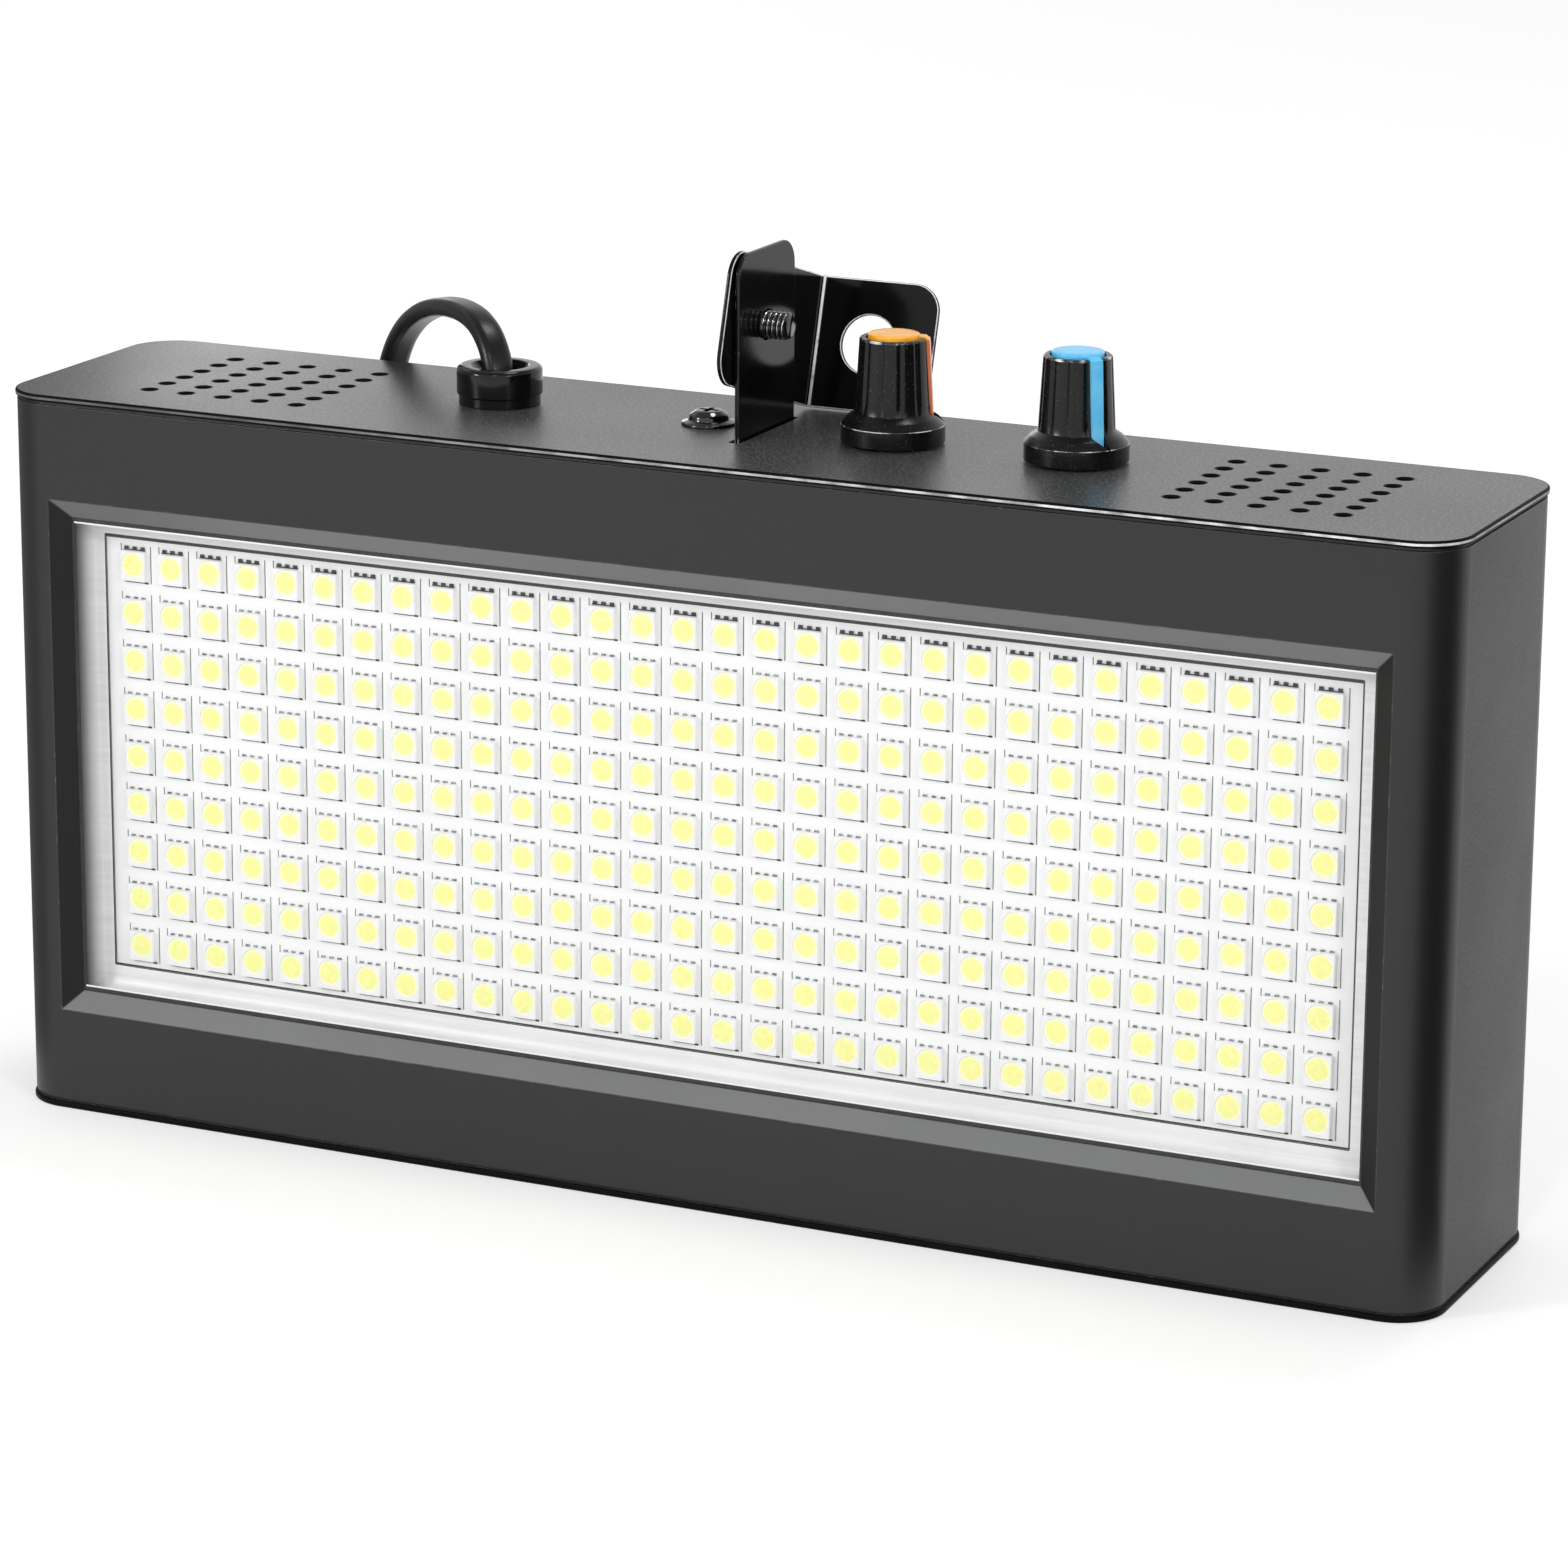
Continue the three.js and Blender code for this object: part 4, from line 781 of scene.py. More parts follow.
# The camera and the cord come before the pieces
def make_camera():
    data = bpy.data.cameras.new("camera")
    data.lens = CAMERA_LENS
    data.sensor_width = CAMERA_SENSOR
    data.clip_start = 0.01
    camera = linked("camera", data)
    camera.location = CAMERA_PLACE
    camera.rotation_euler = [math.radians(angle) for angle in CAMERA_TURN]
    bpy.context.scene.camera = camera


def curve_through(points, steps):
    """A smooth line through the points that never loops between them."""
    ends = [points[0] * 2 - points[1], *points, points[-1] * 2 - points[-2]]
    line = []
    for p0, p1, p2, p3 in zip(ends, ends[1:], ends[2:], ends[3:]):
        d0, d1, d2 = (math.sqrt((b - a).length) for a, b in ((p0, p1), (p1, p2), (p2, p3)))
        out = ((p1 - p0) / d0 - (p2 - p0) / (d0 + d1) + (p2 - p1) / d1) * d1
        into = ((p2 - p1) / d1 - (p3 - p1) / (d1 + d2) + (p3 - p2) / d2) * d1
        for step in range(steps):
            t = step / steps
            line.append(
                p1 * (2 * t ** 3 - 3 * t ** 2 + 1)
                + out * (t ** 3 - 2 * t ** 2 + t)
                + p2 * (3 * t ** 2 - 2 * t ** 3)
                + into * (t ** 3 - t ** 2)
            )
    line.append(points[-1])
    return line


def smoothstep(value, low, high):
    share = min(1.0, max(0.0, (value - low) / (high - low)))
    return share * share * (3 - 2 * share)


def coil_point(turns):
    inwards = min(turns, COIL_TURNS - turns)
    radius = COIL_RADIUS - inwards * TURN_PITCH
    climb = smoothstep(turns, COIL_TURNS / 2 - 0.25, COIL_TURNS / 2 + 0.25)
    angle = 2 * math.pi * turns - QUARTER
    return Vector((
        COIL_X + radius * math.cos(angle),
        COIL_FRONT + COIL_RADIUS + radius * math.sin(angle),
        COIL_LOW + (COIL_HIGH - COIL_LOW) * climb,
    ))


def cord_path():
    """The cord's points and the direction of its wide side at each."""
    route = [
        Vector((
            GROMMET_X + along * ARCH_REACH[0],
            FITTINGS_Y + along * ARCH_REACH[1],
            TOP_Z + rise,
        ))
        for along, rise in ARCH_ROUTE
    ]
    route.extend(Vector(point) for point in DROP_ROUTE)
    route.append(Vector((COIL_X - CORD_WIDTH - 0.3, COIL_FRONT, COIL_LOW)))
    line = curve_through(route, 6)
    coil_start = len(line)
    line += [coil_point(i / COIL_STEPS) for i in range(COIL_TURNS * COIL_STEPS + 1)]
    tail_start = COIL_X + CORD_WIDTH
    for i in range(TAIL_STEPS + 1):
        share = i / TAIL_STEPS
        line.append(Vector((
            tail_start + share * (PLUG_X + 1 - tail_start),
            COIL_FRONT,
            COIL_HIGH + (PLUG_LEVEL - COIL_HIGH) * smoothstep(share, 0.0, 1.0),
        )))
    across = Vector((ARCH_REACH[1], -ARCH_REACH[0], 0.0)).normalized()
    wide = []
    for i, point in enumerate(line):
        stand = smoothstep(point.x, *STANDS_UP) if point.z < STANDS_BELOW else 0.0
        if i >= coil_start:
            stand = 1.0
        flat = across.lerp(Vector((0, 1, 0)), smoothstep(-point.z, *LIES_FLAT))
        wide.append(flat.lerp(Vector((0, 0, 1)), stand).normalized())
    return line, wide


def make_tube(line, wide):
    solid = Solid()
    radius = CORD_THICKNESS / 2
    core = (CORD_WIDTH - CORD_THICKNESS) / 2
    section = []
    for side in (1, -1):
        for i in range(CORD_END_STEPS + 1):
            angle = (i / CORD_END_STEPS - 0.5) * math.pi
            section.append((side * (core + radius * math.cos(angle)), side * radius * math.sin(angle)))
    rings = []
    for i, point in enumerate(line):
        along = (line[min(i + 1, len(line) - 1)] - line[max(i - 1, 0)]).normalized()
        broad = (wide[i] - along * wide[i].dot(along)).normalized()
        thin = along.cross(broad)
        rings.append(solid.ring([point + broad * a + thin * b for a, b in section]))
    return solid.loft(rings)


def make_tie():
    room = CORD_THICKNESS / 2 + 0.9
    inner = COIL_RADIUS - COIL_TURNS / 2 * TURN_PITCH - room
    outer = COIL_RADIUS - TURN_PITCH / 2 + room
    top = COIL_HIGH + CORD_WIDTH / 2 + 0.3
    centre_y = COIL_FRONT + COIL_RADIUS + (inner + outer) / 2
    thick = 0.6
    hole = rect(outer - inner, top - thick, 1.2, (centre_y, (top + thick) / 2), 4)
    band = rect(outer - inner + 2 * thick, top + thick, 1.8, (centre_y, (top + thick) / 2), 4)
    solid = prism(band, COIL_X - 4, COIL_X + 4, right, [hole], 0.2)
    return add_piece("cord_tie_band", solid, ["tie_black"], "black_plastic", "cord_tie")


def plug_section(x, width, height, power, count=64):
    """A ring round the plug's axis, squarer for a higher power."""
    ring = []
    for i in range(count):
        angle = 2 * math.pi * i / count
        c, s = math.cos(angle), math.sin(angle)
        size = (abs(c) ** power + abs(s) ** power) ** (-1 / power)
        ring.append((x, COIL_FRONT + width / 2 * size * c, PLUG_LEVEL + height / 2 * size * s))
    return ring


def make_plug():
    stations = []
    steps = NOSE_RIBS * 6
    for i in range(steps + 1):
        share = i / steps
        groove = RIB_DEPTH * max(0.0, math.sin(share * NOSE_RIBS * 2 * math.pi)) * float(share < 0.86)
        sizes = [tip + (root - tip) * share - groove for tip, root in zip(NOSE_TIP, NOSE_ROOT)]
        stations.append((PLUG_X + NOSE_LENGTH * share * 0.98, *sizes, NOSE_POWER))
    for share in (0.25, 0.5, 0.75, 1.0):
        angle = share * QUARTER
        lack = 1 - math.sin(angle)
        sizes = [full - (full - root) * lack for full, root in zip(PLUG_SIZE, NOSE_ROOT)]
        power = NOSE_POWER + (GRIP_POWER - NOSE_POWER) * share
        stations.append((PLUG_X + NOSE_LENGTH + 2.5 * (1 - math.cos(angle)), *sizes, power))
    stations.append((PLUG_END - 5.0, *PLUG_SIZE, GRIP_POWER))
    for share in (0.0, 0.25, 0.5, 0.75, 1.0):
        angle = share * QUARTER
        inset = 1.6 * (1 - math.cos(angle))
        sizes = [full - inset for full in PLUG_SIZE]
        stations.append((PLUG_END - 1.0 + math.sin(angle), *sizes, GRIP_POWER))
    solid = Solid()
    solid.loft([solid.ring(plug_section(*station)) for station in stations])
    pieces = [add_piece("plug_grip", solid, ["plug_black"], "plug_plastic", "plug_body")]
    length, width, thickness = BLADE_SIZE
    for number, side in ((1, -1), (2, 1)):
        y = COIL_FRONT + side * BLADE_OFFSET
        outline = rect(length, width, 1.2, (PLUG_END + BLADE_REACH - length / 2, PLUG_LEVEL), 6)
        hole = disc(BLADE_HOLE[1], (PLUG_END + BLADE_HOLE[0], PLUG_LEVEL), 24)
        blade = prism(outline, y - thickness / 2, y + thickness / 2, back, [hole], 0.2)
        pieces.append(add_piece(
            f"plug_pin_{number}", blade, ["brass"], "blade_brass", f"plug_blade_{number}",
        ))
    return pieces


def make_cord():
    line, wide = cord_path()
    cord = add_piece("mains_cord", make_tube(line, wide), ["cord_black"], "cord_sheath",
                     "power_cord", "cord_coil", "cord_tail")
    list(make_plug())
    make_tie()


make_camera()
make_cord()


# Case
case_outline = rect(CASE_WIDTH, CASE_DEPTH, CASE_RADIUS)


def upright(width, height, radius=0.0, steps=CORNER_STEPS):
    """An outline that stands about the middle of the case."""
    return rect(width, height, radius, (0, MIDDLE_Z), steps)


def boss_places():
    return [(sx * BOSS_X, MIDDLE_Z + sz * BOSS_Z) for sx in (-1, 1) for sz in (-1, 1)]


def window_wedge():
    window = upright(WINDOW_WIDTH, WINDOW_HEIGHT)
    solid = Solid()
    return solid.loft([
        solid.level(window((y + SHELL_Y) * BEVEL / FRONT_WALL), y)
        for y in (-SHELL_Y - 1.0, CAVITY_FRONT + 0.5)
    ])


def shell_body():
    solid = Solid()
    heights = (
        (OVERHANG + GROOVE, PLATE),
        (OVERHANG + GROOVE, PLATE + GROOVE),
        (OVERHANG, PLATE + GROOVE),
        (OVERHANG, PLATE_UNDER - GROOVE),
        (OVERHANG + GROOVE, PLATE_UNDER - GROOVE),
        (OVERHANG + GROOVE, PLATE_UNDER),
    )
    return solid.loft([solid.level(case_outline(inset), z, up) for inset, z in heights])


def shell_paint(spots):
    """0 in front, 1 on the window's level bevels, painted lighter as painted light, 2 on its upright bevels,
    painted darker as painted shade, 3 at the sides.
    """
    middle = sum(spots, Vector()) / len(spots)
    depths = [p.y for p in spots]
    heights = [p.z for p in spots]
    sloped = max(depths) - min(depths) > LEAST and max(depths) < CAVITY_FRONT + LEAST
    if sloped and abs(middle.x) < WINDOW_WIDTH / 2 and abs(middle.z - MIDDLE_Z) < WINDOW_HEIGHT / 2:
        return 1 if max(heights) - min(heights) < BEVEL + 1 else 2
    return 3 if min(abs(p.x) for p in spots) > CASE_WIDTH / 2 - OVERHANG - LEAST else 0


def make_shell():
    cavity = prism(rect(2 * CAVITY_HALF, CAVITY_DEPTH, CAVITY_RADIUS, CAVITY_MIDDLE, 8), 0.0, CASE_HEIGHT)
    seat = prism(upright(*SEAT_SIZE, 4.3, 8), COVER_INNER, SHELL_Y + 1, back)
    rear = prism(upright(*REAR_OPENING, 3.0, 8), CAVITY_BACK - 1, COVER_INNER + 1, back)
    painted = repainted(combined(shell_body(), [cavity, window_wedge(), seat, rear]), shell_paint)
    for place in boss_places():
        painted.add(prism(disc(BOSS_RADIUS, place), CAVITY_FRONT, BOARD_FRONT, back))
    colours = ["shell_black", "bevel_painted_light", "bevel_painted_shade", "shell_side", "shell_edge_wear_and_painted_highlight"]
    add_piece("shell_ring", painted, colours, "case_plastic", "front_shell", bevel=0.16, segments=2)


def lip(low, high):
    """A plate's lip, which fits inside the shell."""
    def outline(play):
        width = 2 * (CAVITY_HALF - play)
        return rect(width, CAVITY_DEPTH - 2 * play, CAVITY_RADIUS - play, CAVITY_MIDDLE, 6)

    return prism(outline(LIP_PLAY), low, high, up, [outline(LIP_PLAY + LIP_WALL)])


def vent_places():
    for side in (-1, 1):
        for column in range(5):
            for row in range(6):
                yield side * VENT_X + (column - 2) * VENT_PITCH[0], VENT_Y + (row - 2.5) * VENT_PITCH[1]


def make_plates():
    holes = [disc(VENT_RADIUS, place, 20) for place in vent_places()]
    front = FITTINGS_Y - EAR_DEPTH / 2 - 1.0
    rear = FITTINGS_Y + EAR_DEPTH / 2 + 0.3
    slot_width = EAR_X[1] - EAR_X[0] + 0.6
    holes.append(rect(slot_width, rear - front, 0.3, (sum(EAR_X) / 2, (front + rear) / 2), 3))
    knob_holes = [(knob[2], KNOB_HOLE) for knob in KNOBS]
    for x, radius in ((EAR_SCREW_X, EAR_SCREW_HOLE), *knob_holes, (GROMMET_X, GROMMET_HOLE)):
        holes.append(disc(radius, (x, FITTINGS_Y)))
    # The top plate's rounded edges and vent-hole walls take painted shade, its upright side a painted
    # highlight
    top = prism(
        case_outline, PLATE_UNDER, TOP_Z, up, holes, 0.4, edge_paint=1, side_paint=2, hole_paint=1,
    )
    top.add(lip(PLATE_UNDER - LIP_HEIGHT, PLATE_UNDER))
    add_piece("top_cover", top, ["plate_black", "rim_painted_shade", "rim_painted_highlight"], "case_paint", "top_plate")
    # The bottom plate's rounded edges and side take painted shade
    bottom = prism(case_outline, 0.0, PLATE, up, (), 0.4, edge_paint=1, side_paint=1)
    bottom.add(lip(PLATE, PLATE + LIP_HEIGHT))
    add_piece("bottom_cover", bottom, ["plate_black", "rim_painted_shade"], "case_paint", "bottom_plate")


def rear_screw_places():
    return [(x, MIDDLE_Z + side * REAR_SCREW_RISE) for x in REAR_SCREW_XS for side in (1, -1)]


def make_rear_cover():
    holes = []
    for side in (-1, 1):
        for row in range(6):
            z = MIDDLE_Z + (row - 2.5) * COVER_SLOT_PITCH
            holes.append(rect(*COVER_SLOT, 1.19, (side * COVER_SLOT_X, z), 8))
    holes += [disc(REAR_SCREW_HOLE, place, 20) for place in rear_screw_places()]
    cover = prism(upright(*COVER_SIZE, 4), COVER_INNER, SHELL_Y, back, holes, 0.25)
    add_piece("back_cover", cover, ["plate_black"], "case_paint", "rear_cover")


def cross_cutter(size, top, depth):
    """A tapered cross for a screw's recess, pointing down from top."""
    arms = []
    for turn in (0, 1):
        solid = Solid()
        rings = []
        for share, z in ((1.0, top + 0.5), (0.45, top - depth)):
            long, short = size * share, size * 0.24 * (0.6 + 0.4 * share)
            x, y = (short, long) if turn else (long, short)
            rings.append(solid.ring([(x, y, z), (-x, y, z), (-x, -y, z), (x, -y, z)]))
        arms.append(solid.loft(rings))
    return arms


def make_screw(name, node, place, corners, cross, steps=ROUND_STEPS):
    """A black screw, turned from the corners of its profile, with a cross recess."""
    screw = combined(turned(rounded(corners), steps=steps), cross_cutter(*cross))
    add_piece(name, screw.moved(place), ["screw_black"], "black_hardware", node, crease=30)


def make_rear_screws():
    turn = Matrix.Rotation(-QUARTER, 4, "X")
    corners = [
        (0, -6, 0), (1.2, -6, 0.3), (1.2, 0, 0), (2.9, 0, 0.15), (2.9, 0.5, 0.4), (2.1, 1.4, 0.6),
        (0, 1.5, 0),
    ]
    for number, (x, z) in enumerate(rear_screw_places(), 1):
        place = Matrix.Translation((x, SHELL_Y, z)) @ turn
        make_screw(f"back_screw_{number}", f"rear_screw_{number}", place, corners, (1.5, 1.5, 1.0), 48)


make_shell()
make_plates()
make_rear_cover()
make_rear_screws()


# Window
def make_lens():
    """The clear sheet, with a black strip of painted shade round the window and a white strip of painted
    highlight inside its long sides.
    """
    depth = (CAVITY_FRONT + 0.1, CAVITY_FRONT + 0.2)
    half = INNER_WIDTH / 2 - WINDOW_SIDE_LINE
    solid = prism(upright(*LENS_SIZE, 0.4, 3), CAVITY_FRONT, TRAY_FRONT, back, (), 0.15)
    inner = upright(2 * half, INNER_HEIGHT - 2 * WINDOW_LINE)
    # A black strip of painted shade just behind the window's edge
    solid.add(prism(upright(INNER_WIDTH + 2, INNER_HEIGHT + 2), *depth, back, [inner]), 1)
    for side in (-1, 1):
        edge = MIDDLE_Z + side * (INNER_HEIGHT / 2 - WINDOW_LINE)
        # A white strip of painted highlight along each long side
        solid.add(box((-half, half), depth, sorted((edge, edge - side * GLEAM))), 2)
    add_piece("window_sheet", solid, ["clear_sheet", "painted_shade_black", "lamp_white"], "clear_sheet",
              "window_lens")


def make_tray():
    floor = BOARD_FRONT - TRAY_FLOOR

    def pocket(inset=0.0):
        return upright(POCKET_SIZE[0] - 2 * inset, POCKET_SIZE[1] - 2 * inset, 0.5, 4)()

    # Faces of the floor's opening, painted black as painted shade along the board's edge
    def in_opening(spots):
        inner = max(abs(p.x) for p in spots) < OPENING_SIZE[0] / 2 + LEAST
        return inner and min(p.y for p in spots) > floor - LEAST

    opening = rect(*OPENING_SIZE, 0.3, (0, MIDDLE_Z + OPENING_RISE), 3)
    outer = upright(POCKET_SIZE[0] + 2 * TRAY_WALL, POCKET_SIZE[1] + 2 * TRAY_WALL, 0.8, 4)
    flange = prism(upright(*LENS_SIZE, 0.5, 4), TRAY_FRONT, TRAY_FRONT + TRAY_WALL, back)
    sleeve = prism(outer, TRAY_FRONT + 0.01, BOARD_FRONT, back)
    solid = combined(flange, [sleeve], "UNION")
    solid = combined(solid, [
        prism(pocket, TRAY_FRONT - 3, floor, back, (), COVE),
        prism(opening, floor - 1, BOARD_FRONT + 1, back),
    ])
    add_piece("silver_tray", repainted(solid, in_opening), ["brushed_silver", "painted_shade_black", "brushed_silver"],
              "bright_metal", "reflector_tray", bevel=0.1, segments=2)


def lamp_centres():
    for row in range(ROWS):
        for column in range(COLUMNS):
            yield (column - (COLUMNS - 1) / 2) * PITCH_X, MIDDLE_Z + ((ROWS - 1) / 2 - row) * PITCH_Z


def plate_line(x, z, paint):
    return box(x, (BOARD_FRONT - 0.04, BOARD_FRONT + 0.01), z, paint)


def make_board():
    holes = [disc(BOARD_HOLE, place, 20) for place in boss_places()]
    solid = prism(upright(*BOARD_SIZE, 0.8, 4), BOARD_FRONT, BOARD_BACK, back, holes, 0.1)
    half_x, half_z = OPENING_SIZE[0] / 2, OPENING_SIZE[1] / 2
    low, high = MIDDLE_Z + OPENING_RISE - half_z, MIDDLE_Z + OPENING_RISE + half_z
    # Black lines just inside the tray's opening: painted shade along its edge
    opening_shade_lines = (
        ((-half_x, half_x), (high - 0.72, high - 0.1)),
        ((-half_x, half_x), (low + 0.02, low + 0.32)),
        ((-half_x + 0.02, -half_x + 0.12), (low + 0.32, high - 0.6)),
        ((half_x - 0.45, half_x - 0.1), (low + 0.32, high - 0.6)),
    )
    for x, z in opening_shade_lines:
        solid.add(plate_line(x, z, 1))
    for number, (x, z) in enumerate(lamp_centres()):
        for line, (across, height) in enumerate(LAMP_LINES):
            # Printed lines are grey, and black on the top row as painted shade; the lines under each package
            # are black as painted shadow
            line_paint = 2 if line < 2 and number >= COLUMNS else 1
            solid.add(plate_line([x + u for u in across], [z + v for v in height], line_paint))
    add_piece("lamp_board", solid, ["board_white", "painted_shade_black", "ink_grey"], "white_board", "led_board")


def one_lamp(lead_height):
    """A lamp's package with a round recess of gel, and its six leads, about its own centre."""
    front = BOARD_FRONT - LAMP_HEIGHT
    top = LAMP_SIZE / 2
    bottom = top - LAMP_TALL
    outline = rect(LAMP_SIZE, LAMP_TALL, LAMP_CORNER, (0, (top + bottom) / 2), 3)
    solid = Solid()
    foot = solid.level(outline(), BOARD_FRONT)
    side = solid.level(outline(LAMP_TAPER), front + LAMP_EDGE)
    rim = solid.level(outline(LAMP_TAPER + LAMP_EDGE), front)
    solid.strip(foot, side)
    solid.strip(side, rim)
    round_rim = solid.level(disc(GEL_RADIUS + 0.12, steps=24)(), front)
    wall = solid.level(disc(GEL_RADIUS, steps=24)(), front + GEL_DEPTH)
    crown = solid.level(disc(GEL_RADIUS * 0.6, steps=24)(), front + GEL_DEPTH - 0.08)
    solid.fill([rim, round_rim])
    solid.strip(round_rim, wall)
    solid.strip(wall, crown, 1)
    solid.face(crown, 1)
    solid.face(foot)
    depth = (BOARD_FRONT - 0.3, BOARD_FRONT - 0.02)
    for x in PIN_PLACES:
        pin = (x - PIN_HALF, x + PIN_HALF)
        solid.add(box(pin, depth, (top - 0.2, top + lead_height), 2))
        solid.add(box(pin, depth, (bottom - 0.12, bottom + 0.2), 3))
    # On the top row a black bar of painted shade joins the upper leads
    if lead_height > LAMP_LEADS[1]:
        solid.add(box((-2.1, 2.1), depth, (top - 0.2, top + 0.12), 2))
    return solid


def make_lamps():
    centres = list(lamp_centres())
    for row in range(ROWS):
        solid = Solid()
        for x, z in centres[row * COLUMNS:(row + 1) * COLUMNS]:
            solid.add(one_lamp(LAMP_LEADS[min(row, 1)]).moved(Matrix.Translation((x, 0, z))))
        # The top row's upper leads are black as painted shade
        lead = "lead_metal" if row else "painted_shade_black"
        add_piece(f"lamp_row_{row + 1}", solid, ["lamp_white", "lamp_gel", lead, "solder"], "lamp_white",
                  f"led_row_{row + 1}", crease=40)


make_lens()
make_tray()
make_board()
make_lamps()


# Ear and hanging bracket
def make_ear():
    def outline(inset=0.0):
        front, rear = FITTINGS_Y - EAR_DEPTH / 2, FITTINGS_Y + EAR_DEPTH / 2
        low, high = PLATE_UNDER - SHEET, TOP_Z + EAR_RISE
        points = [(front + inset, low + inset), (rear - inset, low + inset)]
        for middle, turn in ((rear - EAR_CORNER, 0), (front + EAR_CORNER, 1)):
            points += quarter((middle, high - EAR_CORNER), EAR_CORNER - inset, turn)
        return points

    hole = disc(BOLT_HOLE, (FITTINGS_Y, PIVOT_Z))
    # The ear's rounded edges take a painted highlight
    solid = prism(outline, *EAR_X, right, [hole], 0.2, edge_paint=1)
    foot = rect(EAR_FOOT_LENGTH, EAR_DEPTH, 0.3, (EAR_FOOT_X, FITTINGS_Y), 2)
    screw_hole = disc(EAR_SCREW_HOLE, (EAR_SCREW_X, FITTINGS_Y))
    solid.add(prism(foot, PLATE_UNDER - SHEET, PLATE_UNDER - 0.01, up, [screw_hole], 0.1))
    add_piece("ear_plate", solid, ["sheet_black", "ear_edge_painted_highlight"], "bracket_paint", "ear_bracket")


def make_ear_screw():
    place = Matrix.Translation((EAR_SCREW_X, FITTINGS_Y, TOP_Z))
    corners = [
        (0, -8, 0), (2, -8, 0.3), (2, 0, 0), (4.75, 0, 0.1), (4.75, 0.5, 0.3), (3.55, 0.85, 0.2),
        (3.35, 1.7, 0.7), (2.2, 2.45, 1.0), (0, 2.5, 0),
    ]
    make_screw("ear_fixing_screw", "ear_screw", place, corners, (2.1, 2.5, 1.5))


def along_x(u, v, w):
    return Vector((w, FITTINGS_Y + u, PIVOT_Z + v))


def make_bolt():
    head = BOLT_X
    head_end = head - BOLT_HEAD_HEIGHT
    stub_end = EAR_X[1] + STUB_LENGTH
    thread_start = EAR_X[1] + 0.2
    steps_per_turn = 10
    root = THREAD_RADIUS - THREAD_DEPTH
    profile = rounded([
        (0, head_end, 0), (BOLT_HEAD_RADIUS, head_end, 1.0), (BOLT_HEAD_RADIUS, head, 0.15),
        (THREAD_RADIUS, head, 0), (THREAD_RADIUS, thread_start, 0),
    ])
    turns = int((stub_end - thread_start - 0.3) / THREAD_PITCH * steps_per_turn)
    for i in range(1, turns):
        profile.append((root + THREAD_DEPTH, thread_start + i * THREAD_PITCH / steps_per_turn))
    profile += [(root, stub_end - 0.25), (root - 0.3, stub_end), (0, stub_end)]

    def thread(angle, height, radius):
        if not thread_start < height < stub_end - 0.26:
            return 0.0
        phase = (height / THREAD_PITCH + angle / (2 * math.pi)) % 1.0
        return -THREAD_DEPTH * (1 - abs(2 * phase - 1)) ** 1.3

    # Faces on the thread's crests, which are painted bright as painted glints
    def on_crest(spots):
        away = min(math.hypot(p.y - FITTINGS_Y, p.z - PIVOT_Z) for p in spots)
        threaded = min(p.x for p in spots) > thread_start and max(p.x for p in spots) < stub_end - 0.3
        return threaded and away > THREAD_RADIUS - CREST

    solid = repainted(turned(profile, along_x, 48, thread), on_crest)
    add_piece("pivot_screw", solid, ["screw_black", "crest_painted_glint"], "black_hardware", "pivot_bolt", crease=60)
    hole = disc(WASHER_HOLE, steps=48)
    washer = prism(disc(WASHER_RADIUS, steps=64), head, head + WASHER_THICKNESS, along_x, [hole], 0.15)
    add_piece("pivot_ring", washer, ["screw_black"], "black_hardware", "pivot_washer")


def folded(s, t, w):
    """A point of the flat pattern on the folded bracket, w out from the sheet's middle."""
    if s <= LEG_LENGTH:
        return Vector((sum(LEG_X) / 2 + w, LEG_FRONT + s, t))
    past = s - LEG_LENGTH
    if past >= BEND_LENGTH:
        return Vector((BEND_X + past - BEND_LENGTH, FOLD_Y + SHEET / 2 - w, t))
    angle = past / BEND_MIDDLE
    size = BEND_MIDDLE - w
    return Vector((BEND_X - size * math.cos(angle), FOLD_Y - BEND_RADIUS + size * math.sin(angle), t))


